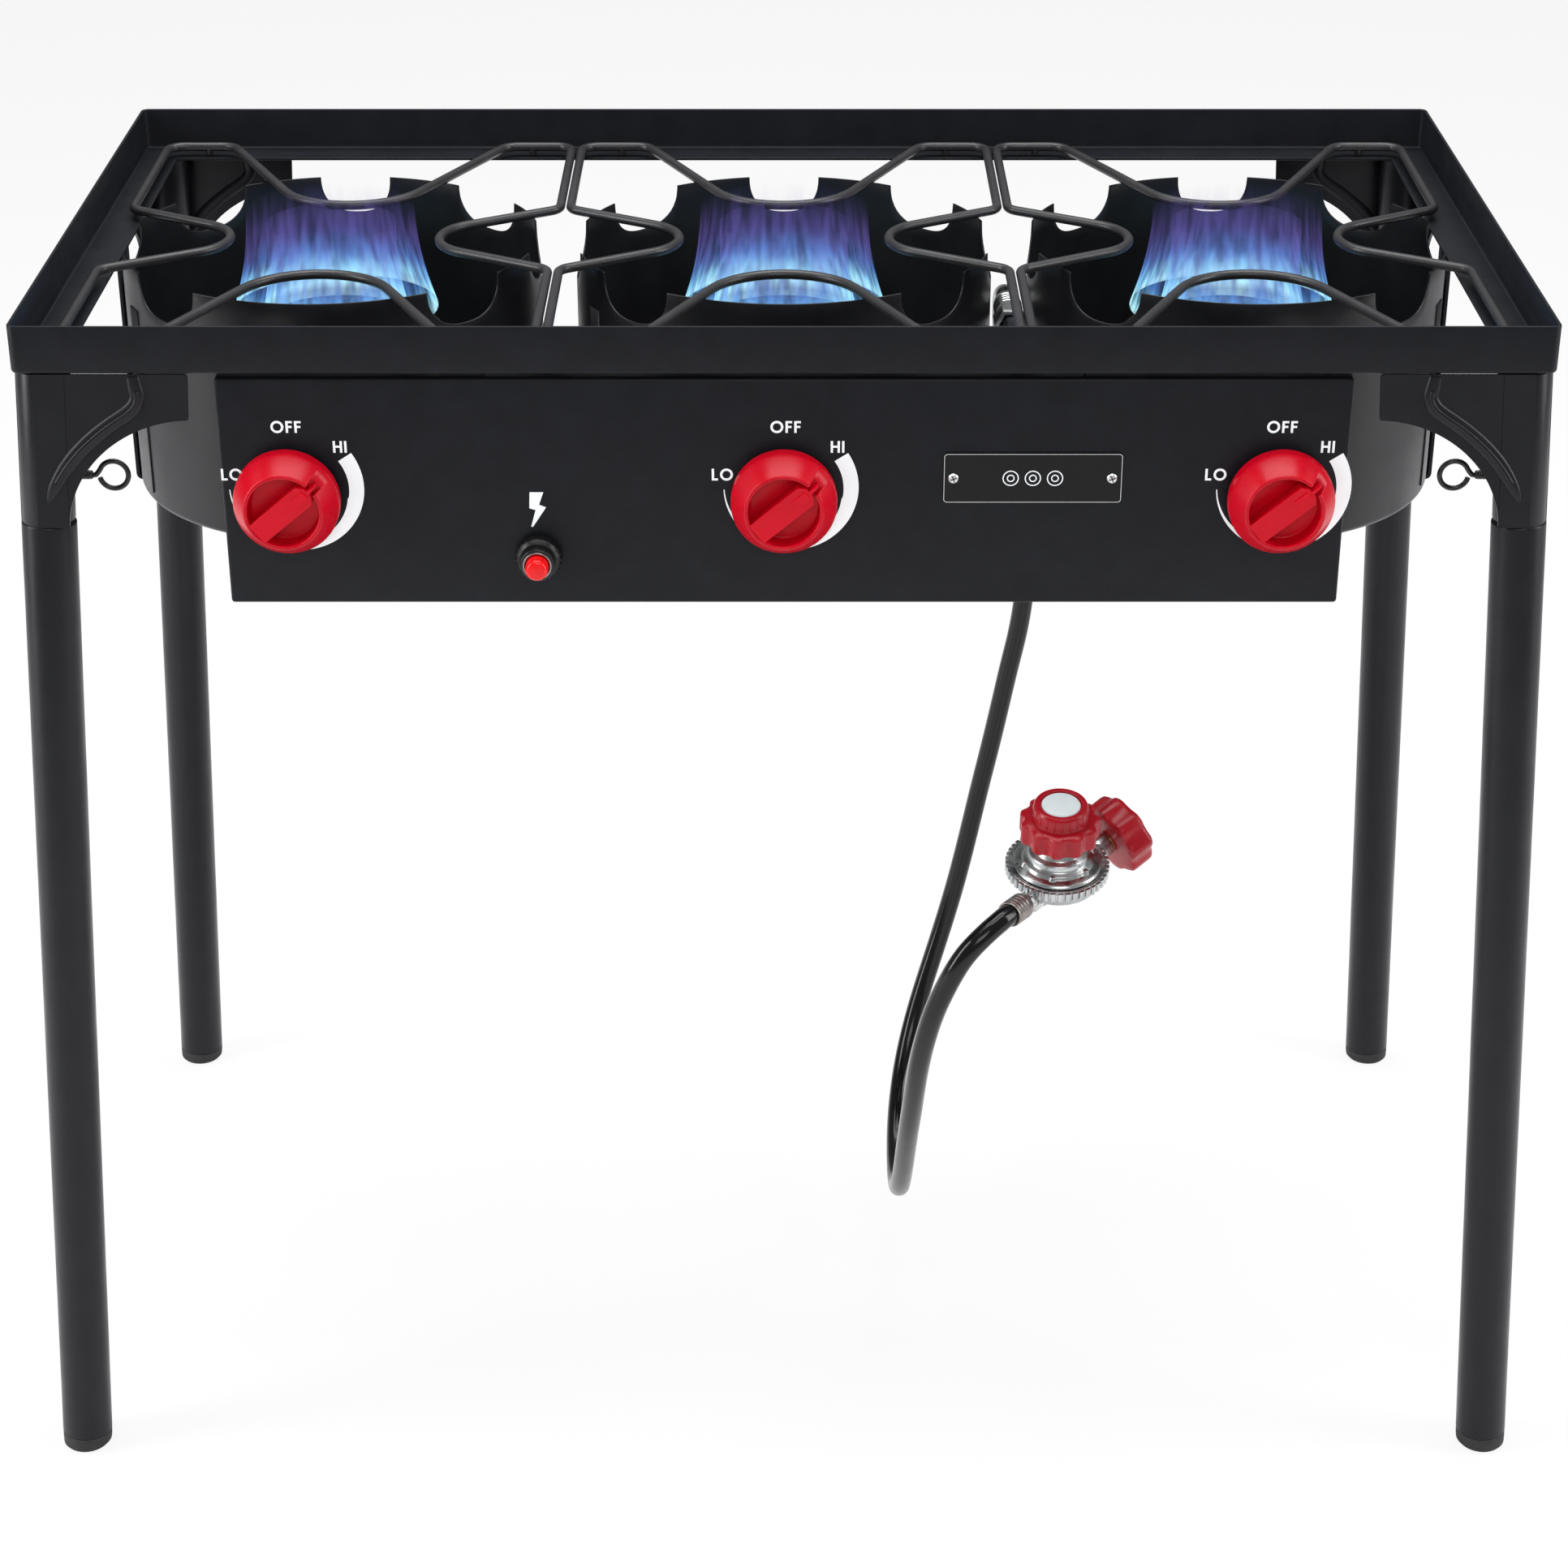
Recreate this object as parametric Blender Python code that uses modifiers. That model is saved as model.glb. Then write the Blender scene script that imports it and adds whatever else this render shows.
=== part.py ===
# Three-burner propane stand: an angle-iron top frame on four removable legs,
# three rod grates, three crowned wind shields with cast burners, a control
# panel with three needle-valve knobs and a push igniter, and a gas hose that
# ends in an adjustable regulator.
#
# Frame: metres, +Z up, -Y is the control-panel side (front), -X is left,
# origin on the floor in the middle of the footprint.

import math
from collections import namedtuple

import bpy
import bmesh
from mathutils import Matrix, Vector

# --------------------------------------------------------- shared dimensions
GAP = 0.0004             # clearance kept between separate pieces

TOP_W = 0.860            # top frame, left to right
TOP_D = 0.440            # top frame, front to back
HALF_W = TOP_W / 2
HALF_D = TOP_D / 2
RIM_Z = 0.7525           # top of the rim above the floor
RIM_H = 0.0280           # height of the rim's upright leaf
FLANGE_W = 0.0258        # width of the rim's horizontal leaf
SHEET = 0.0018           # angle-iron thickness
FLANGE_BOT = RIM_Z - RIM_H
FLANGE_TOP = FLANGE_BOT + SHEET
BRACKET_TOP = FLANGE_BOT - GAP

GRATE_PITCH = 0.2755
ROD_R = 0.0029           # grate rod
GRATE_Z = 0.7325         # grate rod's centre line

BURNER_PITCH = 0.2795
BURNER_Y = 0.0165        # burners stand a little behind the middle
SHIELD_R = 0.1285
SHIELD_T = 0.0010
SHIELD_TOP = GRATE_Z - ROD_R - 0.0010
SHIELD_BOT = 0.5765
RAIL_TOP = SHIELD_BOT - GAP      # top face of the rail under the burners
MIXER_Z = 0.6250
MIXER_R = 0.0125

PANEL_FRONT = -0.2172
PANEL_T = 0.0015
KNOB_PITCH = 0.2805
KNOB_Z = 0.6505
IGNITER_X = -0.1400
IGNITER_Z = 0.6142
PLATE_X = 0.1403         # nameplate centre
PLATE_Z = 0.6623
RIVET_REACH = 0.0448     # rivets, either side of the nameplate's centre
RIVET_HOLE_R = 0.0020

MANIFOLD_Y = -0.1900
MANIFOLD_Z = 0.6825
MANIFOLD_R = 0.0080
SUPPLY_X = 0.1398
SUPPLY_END = Vector((SUPPLY_X, -0.0140, MANIFOLD_Z))     # hose end of the pipe

SIDES = (("left", -1), ("middle", 0), ("right", 1))
CORNERS = (("front_left", -1, -1), ("front_right", 1, -1),
           ("back_left", -1, 1), ("back_right", 1, 1))

# ----------------------------------------------------------------- materials
Look = namedtuple("Look", "colour roughness metallic")

BLACK = Look(colour=(0.018, 0.019, 0.021), roughness=0.45, metallic=0.0)
SHIELD_BLACK = Look(colour=(0.014, 0.015, 0.017), roughness=0.50, metallic=0.0)
GRATE_BLACK = Look(colour=(0.030, 0.030, 0.032), roughness=0.42, metallic=0.2)
IRON = Look(colour=(0.035, 0.034, 0.033), roughness=0.75, metallic=0.6)
BRASS = Look(colour=(0.62, 0.45, 0.18), roughness=0.35, metallic=1.0)
STEEL = Look(colour=(0.55, 0.55, 0.55), roughness=0.30, metallic=1.0)
ZINC = Look(colour=(0.70, 0.72, 0.74), roughness=0.22, metallic=1.0)
RED = Look(colour=(0.62, 0.010, 0.025), roughness=0.28, metallic=0.0)
RED_BUTTON = Look(colour=(0.85, 0.012, 0.008), roughness=0.25, metallic=0.0)
WHITE = Look(colour=(0.82, 0.86, 0.86), roughness=0.40, metallic=0.0)
BLACK_PLASTIC = Look(colour=(0.015, 0.015, 0.017), roughness=0.35, metallic=0.0)
RUBBER = Look(colour=(0.012, 0.012, 0.013), roughness=0.40, metallic=0.0)
CERAMIC = Look(colour=(0.80, 0.78, 0.72), roughness=0.35, metallic=0.0)

# --------------------------------------------------------------------- scene
for old in list(bpy.data.objects):
    bpy.data.objects.remove(old, do_unlink=True)

parts = bpy.data.collections.new("propane_burner_stand")
cutters = bpy.data.collections.new("cutters")
bpy.context.scene.collection.children.link(parts)
bpy.context.scene.collection.children.link(cutters)


# ------------------------------------------------------------------- helpers
def material(name, look):
    mat = bpy.data.materials.new(name)
    mat.use_nodes = True
    shader = mat.node_tree.nodes["Principled BSDF"]
    shader.inputs["Base Color"].default_value = (*look.colour, 1.0)
    shader.inputs["Roughness"].default_value = look.roughness
    shader.inputs["Metallic"].default_value = look.metallic
    mat.diffuse_color = (*look.colour, 1.0)
    return mat


def finish(obj, look, smooth=True):
    """Give the object its own material and its shading."""
    obj.data.materials.append(material(obj.name + "_mat", look))
    if smooth:
        obj.data.shade_smooth()
        obj.data.set_sharp_from_angle(angle=math.radians(35))


def axis_rot(direction):
    """Rotation that turns local +Z to the given direction."""
    return Vector(direction).normalized().to_track_quat('Z', 'Y').to_matrix()


TO_FRONT = axis_rot((0, -1, 0))
TO_BACK = axis_rot((0, 1, 0))
UPRIGHT = Matrix.Rotation(math.pi / 2, 4, 'X')       # stands a flat plate up
QUARTER_TURN = Matrix.Rotation(math.pi / 2, 4, 'Z')


def mesh_object(name, bm, loc, rot=None):
    mesh = bpy.data.meshes.new(name)
    bm.to_mesh(mesh)
    bm.free()
    obj = bpy.data.objects.new(name, mesh)
    parts.objects.link(obj)
    world = Matrix.Translation(Vector(loc))
    if rot is not None:
        world = world @ rot.to_4x4()
    obj.matrix_world = world
    return obj


def add_boolean(obj, other, operation):
    """Combine live with another object, which becomes a hidden helper."""
    mod = obj.modifiers.new(operation.title(), 'BOOLEAN')
    mod.operation = operation
    mod.solver = 'EXACT'
    mod.object = other
    parts.objects.unlink(other)
    cutters.objects.link(other)
    other.hide_render = True
    other.display_type = 'WIRE'


def cut(obj, other):
    add_boolean(obj, other, 'DIFFERENCE')


def join(obj, other):
    add_boolean(obj, other, 'UNION')


def box(name, low, high, bevel=0.0, segments=2, vertical_only=False):
    """Box between two corners, with its origin at its centre."""
    low, high = Vector(low), Vector(high)
    bm = bmesh.new()
    bmesh.ops.create_cube(bm, size=1.0)
    bmesh.ops.scale(bm, vec=high - low, verts=bm.verts)
    if bevel:
        edges = bm.edges[:]
        if vertical_only:
            edges = [e for e in edges
                     if abs((e.verts[0].co - e.verts[1].co).z) > 1e-6]
        bmesh.ops.bevel(bm, geom=edges, offset=bevel, segments=segments,
                        affect='EDGES', profile=0.5)
    return mesh_object(name, bm, (low + high) / 2)


def rod(name, start, end, radius, segments=16):
    """Solid cylinder between two points, with its origin at the first."""
    start, end = Vector(start), Vector(end)
    length = (end - start).length
    bm = bmesh.new()
    bmesh.ops.create_cone(bm, cap_ends=True, cap_tris=False, segments=segments,
                          radius1=radius, radius2=radius, depth=length,
                          matrix=Matrix.Translation((0, 0, length / 2)))
    return mesh_object(name, bm, start, axis_rot(end - start))


def rod_y(name, x, z, y_start, y_end, radius, segments=16):
    """Solid cylinder parallel to the Y axis."""
    return rod(name, (x, y_start, z), (x, y_end, z), radius, segments)


def lathe(name, profile, loc, rot=None, steps=16):
    """Turned piece from (radius, height) points. A profile that starts on the
    axis also ends there; any other is closed into a ring."""
    bm = bmesh.new()
    verts = [bm.verts.new((radius, 0.0, z)) for radius, z in profile]
    for a, b in zip(verts[:-1], verts[1:]):
        bm.edges.new((a, b))
    if profile[0][0] > 0:
        bm.edges.new((verts[-1], verts[0]))
    obj = mesh_object(name, bm, loc, rot)
    mod = obj.modifiers.new("Turn", 'SCREW')
    mod.angle = math.tau
    mod.steps = steps
    mod.render_steps = steps
    mod.use_merge_vertices = True
    mod.merge_threshold = 0.00001
    mod.use_normal_calculate = False
    return obj


def curve_to_mesh(name, curve, points, cyclic, radii=None):
    """Mesh object evaluated from a curve with one straight-edged spline."""
    spline = curve.splines.new('POLY')
    spline.points.add(len(points) - 1)
    for i, (x, y, z) in enumerate(points):
        spline.points[i].co = (x, y, z, 1.0)
        spline.points[i].radius = radii[i] if radii else 1.0
    spline.use_cyclic_u = cyclic
    source = bpy.data.objects.new(curve.name, curve)
    parts.objects.link(source)
    bpy.context.view_layer.update()
    depsgraph = bpy.context.evaluated_depsgraph_get()
    mesh = bpy.data.meshes.new_from_object(source.evaluated_get(depsgraph))
    bpy.data.objects.remove(source, do_unlink=True)
    bm = bmesh.new()
    bm.from_mesh(mesh)
    bmesh.ops.remove_doubles(bm, verts=bm.verts, dist=0.00002)
    bmesh.ops.recalc_face_normals(bm, faces=bm.faces)
    bm.to_mesh(mesh)
    bm.free()
    mesh.name = name
    obj = bpy.data.objects.new(name, mesh)
    parts.objects.link(obj)
    return obj


def wire(name, points, radius, cyclic=False, radii=None, resolution=1):
    """Round bar along a polyline; radii are factors on the bar's radius."""
    curve = bpy.data.curves.new(name + "_path", 'CURVE')
    curve.dimensions = '3D'
    curve.bevel_depth = radius
    curve.bevel_resolution = resolution
    curve.use_fill_caps = not cyclic
    return curve_to_mesh(name, curve, points, cyclic, radii)


def plate(name, outline, thickness):
    """Flat outline in the local XY plane, thickness centred on it."""
    curve = bpy.data.curves.new(name + "_outline", 'CURVE')
    curve.dimensions = '2D'
    curve.fill_mode = 'BOTH'
    curve.extrude = thickness / 2
    return curve_to_mesh(name, curve, [(x, y, 0.0) for x, y in outline], True)


def fillet_path(corners):
    """Closed polyline round (x, y, bend radius, points in bend) corners."""
    out = []
    for i, (x, y, radius, count) in enumerate(corners):
        corner = Vector((x, y))
        to_last = (Vector(corners[i - 1][:2]) - corner).normalized()
        to_next = (Vector(corners[(i + 1) % len(corners)][:2]) - corner).normalized()
        half = to_last.angle(to_next) / 2
        centre = corner + (to_last + to_next).normalized() * (radius / math.sin(half))
        start = corner + to_last * (radius / math.tan(half)) - centre
        end = corner + to_next * (radius / math.tan(half)) - centre
        start_angle = math.atan2(start.y, start.x)
        sweep = math.atan2(end.y, end.x) - start_angle
        sweep = (sweep + math.pi) % math.tau - math.pi
        for j in range(count):
            angle = start_angle + sweep * j / (count - 1)
            out.append(centre + radius * Vector((math.cos(angle), math.sin(angle))))
    return out


def smooth_path(points, per_span):
    """Catmull-Rom curve through 3-D points."""
    pts = [Vector(p) for p in points]
    pts = [2 * pts[0] - pts[1]] + pts + [2 * pts[-1] - pts[-2]]
    out = []
    for i in range(1, len(pts) - 2):
        before, start, end, after = pts[i - 1:i + 3]
        for j in range(per_span):
            t = j / per_span
            out.append(0.5 * ((2 * start) + (end - before) * t
                              + (2 * before - 5 * start + 4 * end - after) * t * t
                              + (3 * start - before - 3 * end + after) * t ** 3))
    out.append(pts[-2])
    return out


def lobed(radius, swing, lobes, points):
    """Closed outline of a round grip with shallow lobes."""
    out = []
    for i in range(points):
        angle = math.tau * i / points
        reach = radius + swing * math.cos(lobes * angle)
        out.append((reach * math.cos(angle), reach * math.sin(angle)))
    return out


def empty(name, loc):
    hub = bpy.data.objects.new(name, None)
    hub.empty_display_size = 0.02
    hub.location = loc
    parts.objects.link(hub)
    return hub


def attach(child, parent):
    """Parent without moving the child."""
    bpy.context.view_layer.update()
    world = child.matrix_world.copy()
    child.parent = parent
    child.matrix_parent_inverse = parent.matrix_world.inverted()
    child.matrix_world = world


# ----------------------------------------------------------------- top frame
SADDLE_HALF_X = 0.0055
SADDLE_HALF_Y = 0.0030
SADDLE_SINK = 0.0006             # overlap into the flange
SADDLE_Y = HALF_D - FLANGE_W + 0.0035


def build_top_frame():
    frame = box("top_frame", (-HALF_W, -HALF_D, FLANGE_BOT), (HALF_W, HALF_D, RIM_Z),
                bevel=0.0045, vertical_only=True)
    cut(frame, box("cut_rim_tray",
                   (-HALF_W + SHEET, -HALF_D + SHEET, FLANGE_TOP),
                   (HALF_W - SHEET, HALF_D - SHEET, RIM_Z + 0.01),
                   bevel=0.003, vertical_only=True))
    cut(frame, box("cut_rim_opening",
                   (-HALF_W + FLANGE_W, -HALF_D + FLANGE_W, FLANGE_BOT - 0.01),
                   (HALF_W - FLANGE_W, HALF_D - FLANGE_W, RIM_Z + 0.02)))
    # low saddles on the flange that carry the side bars of neighbouring grates
    for side in (-1, 1):
        for end in (-1, 1):
            x = side * GRATE_PITCH / 2
            y = end * SADDLE_Y
            join(frame, box("saddle_%d_%d" % (side, end),
                            (x - SADDLE_HALF_X, y - SADDLE_HALF_Y,
                             FLANGE_TOP - SADDLE_SINK),
                            (x + SADDLE_HALF_X, y + SADDLE_HALF_Y,
                             GRATE_Z - ROD_R - GAP)))
    finish(frame, BLACK, smooth=False)


# ---------------------------------------- corner brackets, legs, feet, screws
SPLAY_X = 0.0519         # outward run of a leg per metre of drop, sideways
SPLAY_Y = 0.0444         # the same, front to back
BRACKET_H = 0.0900       # corner bracket, top edge to sleeve mouth
BRACKET_ARM = 0.0985     # reach of a bracket wing from the corner
BRACKET_T = 0.0016
BRACKET_INSET = 0.0002   # bracket's outer faces inside the rim's
SLEEVE_R = 0.0151        # outer radius of the leg sleeve
SLEEVE_BORE = 0.0138
SLEEVE_CENTRE = BRACKET_INSET + SLEEVE_R
RIB_OFFSET = 0.0009      # rib's centre line inside the rim's outer face
RIB_R = 0.0024
LEG_R = 0.0156
LEG_WALL = 0.0012
LEG_BORE = LEG_R - LEG_WALL
LEG_SPIGOT_R = 0.0133    # swaged top end that enters the sleeve
LEG_TOP_DROP = 0.0120    # leg's top end below the bracket's top edge
LEG_FOOT_Z = 0.0100      # leg tube's lower end above the floor
LOCK_DROP = 0.0640       # lock screw below the bracket's top edge
LOCK_HOLE_R = 0.0030
SCREW_EYE_R = 0.0082     # centre line of the screw's eye
SCREW_WIRE_R = 0.00150
SHANK_FACTOR = 1.65      # shank radius over wire radius

# centre line of a pressed rib: (distance along the wing, height)
RIB_PATH = ((0.0195, -0.0700), (0.0310, -0.0495), (0.0470, -0.0320),
            (0.0640, -0.0190), (0.0695, -0.0120), (0.0690, -0.0050))


def corner_matrix(side_x, side_y):
    """Local frame of a corner: +x and +y run inwards along the rim, z up from
    the bracket's top edge. The whole bracket leans with its leg."""
    shear = Matrix.Identity(4)
    shear[0][2] = SPLAY_X
    shear[1][2] = SPLAY_Y
    flip = Matrix.Diagonal((-side_x, -side_y, 1.0, 1.0))
    origin = (side_x * HALF_W, side_y * HALF_D, BRACKET_TOP)
    return Matrix.Translation(origin) @ flip @ shear


def bake(obj, matrix):
    """Put a transform into the mesh and keep the faces pointing out."""
    obj.data.transform(matrix @ obj.matrix_world)
    if matrix.to_3x3().determinant() < 0:
        obj.data.flip_normals()
    obj.matrix_world = Matrix.Identity(4)
    return obj


def leg_axis(side_x, side_y, drop):
    """Point on a leg's centre line, this far below the bracket's top."""
    return Vector((side_x * (HALF_W - SLEEVE_CENTRE + SPLAY_X * drop),
                   side_y * (HALF_D - SLEEVE_CENTRE + SPLAY_Y * drop),
                   BRACKET_TOP - drop))


def wing_outline():
    """Bracket wing: straight top and end, lower edge a quarter ellipse."""
    centre_x, centre_z = 0.1000, -0.0915
    radius_x, radius_z = 0.0703, 0.0652
    pts = [(SLEEVE_CENTRE, 0.0), (BRACKET_ARM, 0.0), (BRACKET_ARM, -0.0262)]
    for i in range(1, 10):
        angle = math.radians(9.5 * i)
        pts.append((centre_x - radius_x * math.sin(angle),
                    centre_z + radius_z * math.cos(angle)))
    pts += [(0.0302, -BRACKET_H), (SLEEVE_CENTRE, -BRACKET_H)]
    return pts


def build_bracket(corner, side_x, side_y):
    """Sleeve, two wings tangent to it and a rib pressed outwards on each. The
    "front" wing runs along x and the "side" wing along y."""
    matrix = corner_matrix(side_x, side_y)
    centre = SLEEVE_CENTRE
    sleeve = rod("corner_bracket_" + corner, (centre, centre, -BRACKET_H),
                 (centre, centre, 0.0), SLEEVE_R)
    bake(sleeve, matrix)
    middle = BRACKET_INSET + BRACKET_T / 2
    for face, offset, turn in (("front", (0, middle, 0), Matrix.Identity(4)),
                               ("side", (middle, 0, 0), QUARTER_TURN)):
        wing = plate("wing_%s_%s" % (face, corner), wing_outline(), BRACKET_T)
        wing.matrix_world = Matrix.Translation(offset) @ turn @ UPRIGHT
        join(sleeve, bake(wing, matrix))
    for face, path in (("front", [(along, RIB_OFFSET, z) for along, z in RIB_PATH]),
                       ("side", [(RIB_OFFSET, along, z) for along, z in RIB_PATH])):
        rib = wire("rib_%s_%s" % (face, corner), path, RIB_R, resolution=0)
        join(sleeve, bake(rib, matrix))
    bore = rod("bore_" + corner, (centre, centre, -BRACKET_H - 0.01),
               (centre, centre, 0.01), SLEEVE_BORE)
    cut(sleeve, bake(bore, matrix))
    lock = leg_axis(side_x, side_y, LOCK_DROP)
    cut(sleeve, rod("lock_hole_" + corner, lock - Vector((side_x * 0.005, 0, 0)),
                    lock - Vector((side_x * 0.030, 0, 0)), LOCK_HOLE_R, 12))
    finish(sleeve, BLACK)


def build_leg(corner, top, low):
    """Straight tube whose top end is swaged down to enter the sleeve."""
    length = (top - low).length
    neck = length - (BRACKET_H - LEG_TOP_DROP) - 0.0010
    spigot_bore = LEG_SPIGOT_R - LEG_WALL
    leg = lathe("leg_" + corner,
                [(LEG_SPIGOT_R, length), (LEG_SPIGOT_R, neck),
                 (LEG_R, neck - 0.0020), (LEG_R, 0.0),
                 (LEG_BORE, 0.0), (LEG_BORE, neck - 0.0040),
                 (spigot_bore, neck - 0.0015), (spigot_bore, length)],
                low, axis_rot(top - low))
    finish(leg, BLACK)


def build_foot(corner, top, low):
    """Plug in the tube's end whose sole is cut level with the floor."""
    foot = lathe("foot_cap_" + corner,
                 [(0.0, 0.0150), (LEG_BORE - GAP, 0.0150), (LEG_BORE - GAP, -GAP),
                  (LEG_R - 0.0002, -GAP), (LEG_R - 0.0002, -0.0075),
                  (LEG_R - 0.0022, -0.0125), (0.0, -0.0150)],
                 low, axis_rot((top - low).normalized()))
    cut(foot, box("floor_cut_" + corner, (low.x - 0.03, low.y - 0.03, -0.03),
                  (low.x + 0.03, low.y + 0.03, 0.0)))
    finish(foot, RUBBER)


def build_lock_screw(corner, side_x, side_y):
    """Eye-headed screw on the sleeve's inner side, with its shank along x,
    its eye upright and its origin on the leg's centre line."""
    tip = LEG_SPIGOT_R + 0.0003
    path = [(tip, 0.0), (tip + 0.0125, 0.0), (tip + 0.0140, 0.0)]
    radii = [SHANK_FACTOR, SHANK_FACTOR, 1.0]
    eye_centre = tip + 0.0150 + SCREW_EYE_R * 1.12
    for i in range(12):
        angle = math.radians(180 - 26 - i * 29.0)
        path.append((eye_centre + SCREW_EYE_R * math.cos(angle),
                     SCREW_EYE_R * math.sin(angle)))
        radii.append(1.0)
    lock = leg_axis(side_x, side_y, LOCK_DROP)
    points = [lock + Vector((-side_x * inward, 0, up)) for inward, up in path]
    screw = wire("leg_lock_screw_" + corner, points, SCREW_WIRE_R, radii=radii)
    screw.data.transform(Matrix.Translation(-lock))
    screw.location = lock
    finish(screw, BLACK)


def build_corners():
    for corner, side_x, side_y in CORNERS:
        top = leg_axis(side_x, side_y, LEG_TOP_DROP)
        low = leg_axis(side_x, side_y, BRACKET_TOP - LEG_FOOT_Z)
        build_bracket(corner, side_x, side_y)
        build_leg(corner, top, low)
        build_foot(corner, top, low)
        build_lock_screw(corner, side_x, side_y)


# -------------------------------------------------------------------- grates
GRATE_HALF_X = 0.1345
GRATE_HALF_Y = 0.1995
DENT_X = 0.0905          # where the front and back bars turn inwards
DENT_Y = 0.0600          # where the side bars turn inwards
GRATE_FOOT_X = 0.1080
GRATE_FOOT_R = 0.0024

# one closed bent rod, a rectangle with all four sides dented inwards:
# (x, y, bend radius, points in bend)
GRATE_CORNERS = (
    (GRATE_HALF_X, GRATE_HALF_Y, 0.0110, 3), (DENT_X, GRATE_HALF_Y, 0.0130, 3),
    (0.0, 0.0043, 0.0466, 7),
    (-DENT_X, GRATE_HALF_Y, 0.0130, 3), (-GRATE_HALF_X, GRATE_HALF_Y, 0.0110, 3),
    (-GRATE_HALF_X, DENT_Y, 0.0110, 3),
    (-0.0340, 0.0, 0.0318, 6),
    (-GRATE_HALF_X, -DENT_Y, 0.0110, 3),
    (-GRATE_HALF_X, -GRATE_HALF_Y, 0.0110, 3), (-DENT_X, -GRATE_HALF_Y, 0.0130, 3),
    (0.0, -0.0043, 0.0466, 7),
    (DENT_X, -GRATE_HALF_Y, 0.0130, 3), (GRATE_HALF_X, -GRATE_HALF_Y, 0.0110, 3),
    (GRATE_HALF_X, -DENT_Y, 0.0110, 3),
    (0.0340, 0.0, 0.0318, 6),
    (GRATE_HALF_X, DENT_Y, 0.0110, 3))


def build_grates():
    line = [(p.x, p.y, 0.0) for p in fillet_path(GRATE_CORNERS)]
    for side, step in SIDES:
        grate = wire("grate_" + side, line, ROD_R, cyclic=True)
        grate.location = (step * GRATE_PITCH, 0.0, GRATE_Z)
        for i, (foot_x, foot_y) in enumerate(((1, 1), (-1, 1), (1, -1), (-1, -1))):
            x = step * GRATE_PITCH + foot_x * GRATE_FOOT_X
            y = foot_y * GRATE_HALF_Y
            join(grate, rod("grate_foot_%s_%d" % (side, i),
                            (x, y, FLANGE_TOP + GAP), (x, y, GRATE_Z),
                            GRATE_FOOT_R, 6))
        finish(grate, GRATE_BLACK)


# -------------------------------------------------------------- wind shields
SHIELD_ROUND = 0.0045    # turn from the shield's wall into its floor
SHIELD_FLOOR_HOLE = 0.0450
ROUND_ANGLES = (0.0, 30.0, 60.0, 90.0)
NOTCH_BOT = 0.7050
NOTCH_BELLY = 0.82       # exponent below 1 fills out the half ellipse
NOTCH_FLARE = 0.0012     # extra half width at the crown's top edge
NOTCH_OVER = 0.006       # cutter's reach above the crown
NOTCH_CUT_DEPTH = 0.060  # cutter's thickness across the wall

# (degrees from +X, half width): wide at the sides, narrow at the back, none
# at the very front
NOTCHES = ((0, 0.0325), (45, 0.0275), (90, 0.0225), (135, 0.0275),
           (180, 0.0325), (225, 0.0275), (315, 0.0275))


def shield_profile():
    def turn(radius, angles):
        return [(SHIELD_R - SHIELD_ROUND + radius * math.cos(math.radians(a)),
                 SHIELD_BOT + SHIELD_ROUND - radius * math.sin(math.radians(a)))
                for a in angles]

    return ([(SHIELD_R, SHIELD_TOP)] + turn(SHIELD_ROUND, ROUND_ANGLES)
            + [(SHIELD_FLOOR_HOLE, SHIELD_BOT),
               (SHIELD_FLOOR_HOLE, SHIELD_BOT + SHIELD_T)]
            + turn(SHIELD_ROUND - SHIELD_T, reversed(ROUND_ANGLES))
            + [(SHIELD_R - SHIELD_T, SHIELD_TOP)])


def notch_outline(half_width):
    """Notch: half a full-bellied ellipse hanging from the crown's top edge."""
    depth = SHIELD_TOP - NOTCH_BOT
    edge = half_width + NOTCH_FLARE
    pts = [(edge, SHIELD_TOP + NOTCH_OVER), (edge, SHIELD_TOP)]
    for i in range(1, 7):
        angle = math.radians(180 / 7 * i)
        cosine = math.cos(angle)
        pts.append((half_width * math.copysign(abs(cosine) ** NOTCH_BELLY, cosine),
                    SHIELD_TOP - depth * math.sin(angle) ** NOTCH_BELLY))
    pts += [(-edge, SHIELD_TOP), (-edge, SHIELD_TOP + NOTCH_OVER)]
    return pts


def build_wind_shield(side, x):
    shield = lathe("wind_shield_" + side, shield_profile(), (x, BURNER_Y, 0), steps=32)
    for degrees, half_width in NOTCHES:
        notch = plate("notch_%s_%d" % (side, degrees), notch_outline(half_width),
                      NOTCH_CUT_DEPTH)
        notch.matrix_world = (Matrix.Translation((x, BURNER_Y, 0))
                              @ Matrix.Rotation(math.radians(degrees), 4, 'Z')
                              @ Matrix.Translation((SHIELD_R, 0, 0))
                              @ QUARTER_TURN @ UPRIGHT)
        cut(shield, notch)
    cut(shield, rod_y("mixer_hole_" + side, x, MIXER_Z, -0.090, -0.130,
                      MIXER_R + 0.0020, 14))
    finish(shield, SHIELD_BLACK)


# ------------------------------------- burner heads, mixer tubes, electrodes
HEAD_R = 0.0680
HEAD_TOP = 0.6720
HEAD_BOT = 0.6440
HEAD_NECK_R = 0.0160
HEAD_STUD_R = 0.0080
SOCKET_R = 0.0158
ELECTRODE_OFFSET = 0.0520        # left of and in front of the burner's axis

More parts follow.
